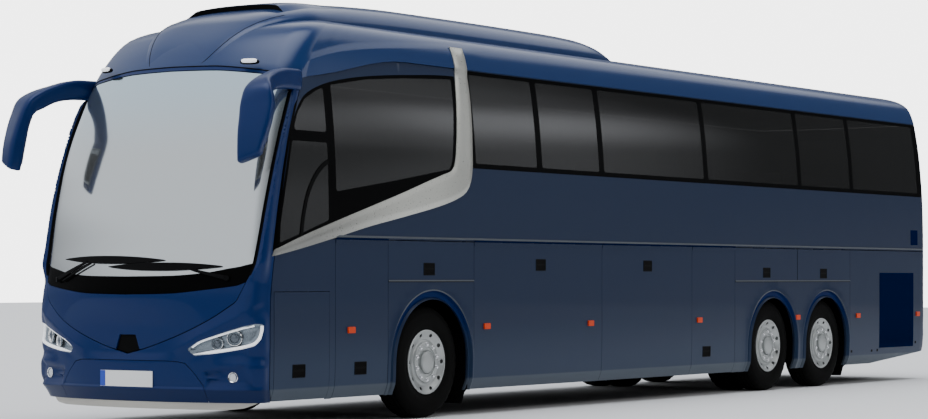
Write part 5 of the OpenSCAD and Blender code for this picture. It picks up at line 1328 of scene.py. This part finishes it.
def wheel(name, body, x, s, prof, hub1, centres, tyre_node, rim_node, turn):
    y0 = 1.075
    parts_t, parts_r = [], []
    for c in centres:
        V, F = spin(tyre_profile(), 144, x, s * (y0 + c), TYRE_Z, s)
        V = np.array(V)
        m2 = len(tyre_profile())
        # cut the shoulders into lugs
        for k in range(144):
            if k % 4 == 0:
                for j, (d, r) in enumerate(tyre_profile()):
                    if 0.09 < abs(d) < 0.128 and r > 0.49:
                        i = k * m2 + j
                        q = (V[i] - (x, 0, TYRE_Z)) * (1, 0, 1)
                        V[i] = V[i] - q / np.linalg.norm(q) * 0.007
        parts_t.append((V, F))
        flange = [(0.133, 0.279), (0.137, 0.284), (0.138, 0.296), (0.135, 0.3015), (0.130, 0.3015), (0.119, 0.2865), (-0.119, 0.2865), (-0.130, 0.3015), (-0.137, 0.3015), (-0.137, 0.279)]
        parts_r.append(spin(flange, 72, x, s * (y0 + c), TYRE_Z, s))
    V, F = join(parts_t)
    o = add(name + "_tyre_skin", V, F, RUBBER, body, sharp=30)
    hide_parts(tyre_node)
    holes = [oval(0.2580, 2 * math.pi * (k + turn) / 10, 0.0220, 0.0165) for k in range(10)] + [circle(0.098, 40)]

    def fd(a, b, o=0.0):
        r = np.hypot(a, b)
        return stack(x + a, s * (y0 + prof(r) - o), TYRE_Z + b)

    P = [(r * math.cos(t + 0.1 * i), r * math.sin(t + 0.1 * i)) for i, r in enumerate((0.12, 0.15, 0.172, 0.180, 0.188, 0.194, 0.200, 0.208, 0.222, 0.236, 0.279)) for t in lin(0, 2 * math.pi, 61)[:-1]]
    panel(name + "_disc", circle(0.2850, 72), fd, ALLOY, t=0.010, holes=holes, extra=P, step=0.02, body=body)
    d0 = float(prof(0.15))
    parts_r.append(spin([(d0 - 0.004, 0.194), (d0 + 0.006, 0.190), (d0 + 0.009, 0.184), (d0 + 0.009, 0.146), (d0 + 0.006, 0.141), (d0 - 0.004, 0.139)], 60, x, s * y0, TYRE_Z, s))
    parts_r.append(spin([(d0 - 0.02, 0.112), (d0 + 0.02, 0.110), (hub1 - 0.012, 0.106), (hub1 - 0.003, 0.102), (hub1 - 0.003, 0.085), (d0 - 0.02, 0.085)], 48, x, s * y0, TYRE_Z, s))
    V, F = join(parts_r)
    o = add(name + "_rim_skin", V, F, ALLOY, body, sharp=30)
    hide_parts(rim_node)
    dome = [(hub1 - 0.006, 0.096), (hub1 + 0.001, 0.094)] + [(hub1 + 0.001 + 0.009 * math.sin(q), 0.090 * math.cos(q)) for q in lin(0.15, math.pi / 2 - 0.01, 8)]
    V, F = spin(dome, 40, x, s * y0, TYRE_Z, s, closed=False)
    add(name + "_cap", V, F, ALLOY, body, sharp=50)
    nuts = []
    for k in range(10):
        t = 2 * math.pi * (k + 0.5) / 10
        cx, cz = 0.1650 * math.cos(t), 0.1650 * math.sin(t)
        pr = [(d0 + 0.006, 0.023), (d0 + 0.011, 0.023), (d0 + 0.0115, 0.0180), (d0 + 0.020, 0.0172), (d0 + 0.024, 0.0125), (d0 + 0.025, 0.0005)]
        nuts.append(spin(pr, 6 * 2, x + cx, s * y0, TYRE_Z + cz, s, closed=False))
    V, F = join(nuts)
    add(name + "_nuts", V, F, CHROME, body, sharp=30)
    # brake drum, and a dark ring behind the disc's holes as painted shade so that they show black
    b0 = d0 - 0.085
    V, F = join([spin([(b0, 0.02), (b0, 0.245), (b0 - 0.05, 0.250), (b0 - 0.05, 0.02)], 40, x, s * y0, TYRE_Z, s), spin([(0.082, 0.278), (0.078, 0.225), (0.073, 0.225), (0.077, 0.278)], 60, x, s * y0, TYRE_Z, s)])
    add(name + "_drum_and_shade_ring", V, F, MATT, body)


for s, nm in ((1, "left"), (-1, "right")):
    wheel("front_" + nm, "front_%s_wheel" % nm, 4.195, s, CONVEX, 0.150, (0.0,), "front_%s_tyre" % nm, "front_%s_rim" % nm, 0.0)
    wheel("drive_" + nm, "drive_%s_wheel" % nm, -2.695, s, COVER, 0.138, (0.0, -0.330), "drive_%s_tyres" % nm, "drive_%s_rims" % nm, 0.5)
    wheel("tag_" + nm, "tag_%s_wheel" % nm, -4.085, s, CONVEX, 0.150, (0.0,), "tag_%s_tyre" % nm, "tag_%s_rim" % nm, 0.0)

# ------------------------------------------------------------------ seats
def pad_grid(n=7):
    """Unit cushion: the six faces of a cube, rounded, with its points joined."""
    bm = bmesh.new()
    bmesh.ops.create_cube(bm, size=2.0)
    bmesh.ops.subdivide_edges(bm, edges=bm.edges[:], cuts=n, use_grid_fill=True)
    V = np.array([v.co[:] for v in bm.verts])
    F = [tuple(v.index for v in f.verts) for f in bm.faces]
    bm.free()
    k = 5.0
    q = (np.abs(V) ** k).sum(1) ** (1 / k)
    return V / q[:, None], F


PV, PF = pad_grid()


def pad(x0, x1, y0, y1, z0, z1, crown=0.015, axis=2, channels=0):
    c, h = np.array([x0 + x1, y0 + y1, z0 + z1]) / 2, np.array([x1 - x0, y1 - y0, z1 - z0]) / 2
    P = PV.copy()
    a, b = [i for i in range(3) if i != axis]
    top = np.clip(P[:, axis], 0, 1)
    W = P * h
    W[:, axis] += crown * top * (1 - P[:, a] ** 2) * (1 - P[:, b] ** 2)
    # sides pull in between the corners
    for i, j in ((a, b), (b, a)):
        W[:, i] -= np.sign(P[:, i]) * 0.006 * np.abs(P[:, i]) ** 4 * (1 - P[:, j] ** 2)
    if channels:
        t = P[:, b] * channels
        W[:, axis] -= top * 0.006 * np.exp(-(((t - np.round(t)) / 0.10) ** 2))
    return W + c, PF


def tilt(V, deg, origin):
    a = math.radians(deg)
    V = np.asarray(V) - origin
    x, z = V[:, 0].copy(), V[:, 2].copy()
    V[:, 0], V[:, 2] = x * math.cos(a) + z * math.sin(a), -x * math.sin(a) + z * math.cos(a)
    return V + origin


bases, backs, legs = [], [], []
rows_l = [(4.1 - 0.8 * i, 0.72) for i in range(13)] + [(4.1 - 0.8 * i, -0.72) for i in list(range(6)) + list(range(8, 13))]
for x, y in rows_l:
    for dy in (-0.225, 0.225):
        bases.append(pad(x - 0.03, x + 0.43, y + dy - 0.215, y + dy + 0.215, 1.93, 2.035, 0.012))
        org = np.array([x - 0.04, y, 1.93])
        v, f_ = pad(x - 0.045, x + 0.065, y + dy - 0.212, y + dy + 0.212, 1.96, 2.56, 0.012, axis=0, channels=3)
        backs.append((tilt(v, -12, org), f_))
        v, f_ = pad(x - 0.040, x + 0.070, y + dy - 0.150, y + dy + 0.150, 2.555, 2.735, 0.010, axis=0)
        backs.append((tilt(v, -12, org), f_))
    legs.append(cube(x - 0.05, x + 0.25, y - 0.05, y + 0.05, 1.600, 1.935))
    legs.append(cube(x - 0.02, x + 0.40, y - 0.43, y + 0.43, 1.905, 1.935))
bases.append(pad(5.29, 5.79, 0.37, 0.87, 1.285, 1.395, 0.012))
org = np.array([5.29, 0.62, 1.30])
v, f_ = pad(5.285, 5.405, 0.375, 0.865, 1.32, 1.92, 0.012, axis=0, channels=3)
backs.append((tilt(v, -12, org), f_))
v, f_ = pad(5.290, 5.400, 0.47, 0.77, 1.925, 2.10, 0.012, axis=0)
backs.append((tilt(v, -12, org), f_))
legs.append(cube(5.36, 5.64, 0.51, 0.73, 0.900, 1.290))
V, F = join(bases)
o = add("seat_bases", V, F, CLOTH, sharp=60)
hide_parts("seats")
V, F = join(backs)
add("seat_backs", V, F, CLOTH, sharp=60)
V, F = join(legs)
soft(add("seat_frames", V, F, STEEL), 0.004)

# ------------------------------------------------------------------ floor, light and camera
bpy.ops.mesh.primitive_plane_add(size=160, location=(0, 0, 0))
ground = bpy.context.active_object
ground.name = "studio_floor"
ground.data.materials.append(mat("studio_floor", (0.72, 0.72, 0.72), rough=0.9, spec=0.2, noise=0.02))

world = bpy.data.worlds.new("studio")
bpy.context.scene.world = world
world.use_nodes = True
wt = world.node_tree
bg = wt.nodes["Background"]
bg.inputs["Color"].default_value = (0.92, 0.95, 1.0, 1)
# bright above the nose, dim along the flank, with one soft patch that the side glass mirrors
tex = wt.nodes.new("ShaderNodeTexCoord")


def lobe(axis, lo, hi, amount):
    d, r = wt.nodes.new("ShaderNodeVectorMath"), wt.nodes.new("ShaderNodeMapRange")
    d.operation = "DOT_PRODUCT"
    d.inputs[1].default_value = axis
    r.interpolation_type = "SMOOTHSTEP"
    r.inputs["From Min"].default_value, r.inputs["From Max"].default_value = lo, hi
    r.inputs["To Min"].default_value, r.inputs["To Max"].default_value = 0.0, amount
    wt.links.new(tex.outputs["Generated"], d.inputs[0])
    wt.links.new(d.outputs["Value"], r.inputs["Value"])
    return r.outputs["Result"]


def calc(op, a, b):
    n = wt.nodes.new("ShaderNodeMath")
    n.operation = op
    for k, v in enumerate((a, b)):
        if isinstance(v, float):
            n.inputs[k].default_value = v
        else:
            wt.links.new(v, n.inputs[k])
    return n.outputs["Value"]


ahead = calc("MULTIPLY", lobe((0.0, 0.0, 1.0), 0.02, 0.30, 1.0), lobe((0.77, -0.64, 0.0), -0.30, 0.35, 1.15))
above = lobe((0.0, 0.0, 1.0), 0.84, 1.0, 5.0)
behind = calc("MULTIPLY", lobe((0.0, 0.0, 1.0), 0.36, 0.47, 1.0), lobe((-1.0, 0.0, 0.0), 0.45, 0.75, 1.9))
stripe = calc("MULTIPLY", lobe((0.0, 0.0, 1.0), 0.130, 0.170, 1.0), lobe((0.0, 0.0, -1.0), -0.212, -0.176, 1.6))
glow = calc("SUBTRACT", lobe((-0.77, 0.62, 0.15), 0.976, 0.9935, 1.0), lobe((-0.77, 0.62, 0.15), 0.9950, 0.9985, 0.45))
patch = calc("MULTIPLY", glow, calc("ADD", stripe, 0.60))
wt.links.new(calc("ADD", calc("ADD", calc("ADD", calc("ADD", ahead, above), behind), patch), 0.13), bg.inputs["Strength"])
# the backdrop seen behind the coach is lighter than the light it casts
pale = wt.nodes.new("ShaderNodeBackground")
pale.inputs["Color"].default_value = (1, 1, 1, 1)
pale.inputs["Strength"].default_value = 4.5
ray, mix_w = wt.nodes.new("ShaderNodeLightPath"), wt.nodes.new("ShaderNodeMixShader")
wt.links.new(ray.outputs["Is Camera Ray"], mix_w.inputs["Fac"])
wt.links.new(bg.outputs["Background"], mix_w.inputs[1])
wt.links.new(pale.outputs["Background"], mix_w.inputs[2])
wt.links.new(mix_w.outputs["Shader"], wt.nodes["World Output"].inputs["Surface"])


def softbox(name, loc, look, size, power, col=(1, 1, 1)):
    d = bpy.data.lights.new(name, "AREA")
    d.shape = "RECTANGLE"
    d.size, d.size_y = size
    d.energy = power
    d.color = col
    ob = bpy.data.objects.new(name, d)
    bpy.context.scene.collection.objects.link(ob)
    ob.location = loc
    ob.rotation_euler = (Vector(look) - Vector(loc)).to_track_quat("-Z", "Y").to_euler()
    return ob


softbox("side", (-2, 17, 10), (-2, 0, 1.5), (18, 5), 650)
cam = bpy.data.cameras.new("photo_view")
cam.sensor_fit = "HORIZONTAL"
cam.sensor_width = 36
cam.lens = 97.03
cam.shift_x = 0.0
cam.shift_y = 0.0738
cam.clip_end = 500
co = bpy.data.objects.new("photo_view", cam)
co.location = (23.2835, 14.6273, 1.3059)
co.rotation_euler = (math.radians(90), 0, math.radians(124.247))
bpy.context.scene.collection.objects.link(co)
bpy.context.scene.camera = co
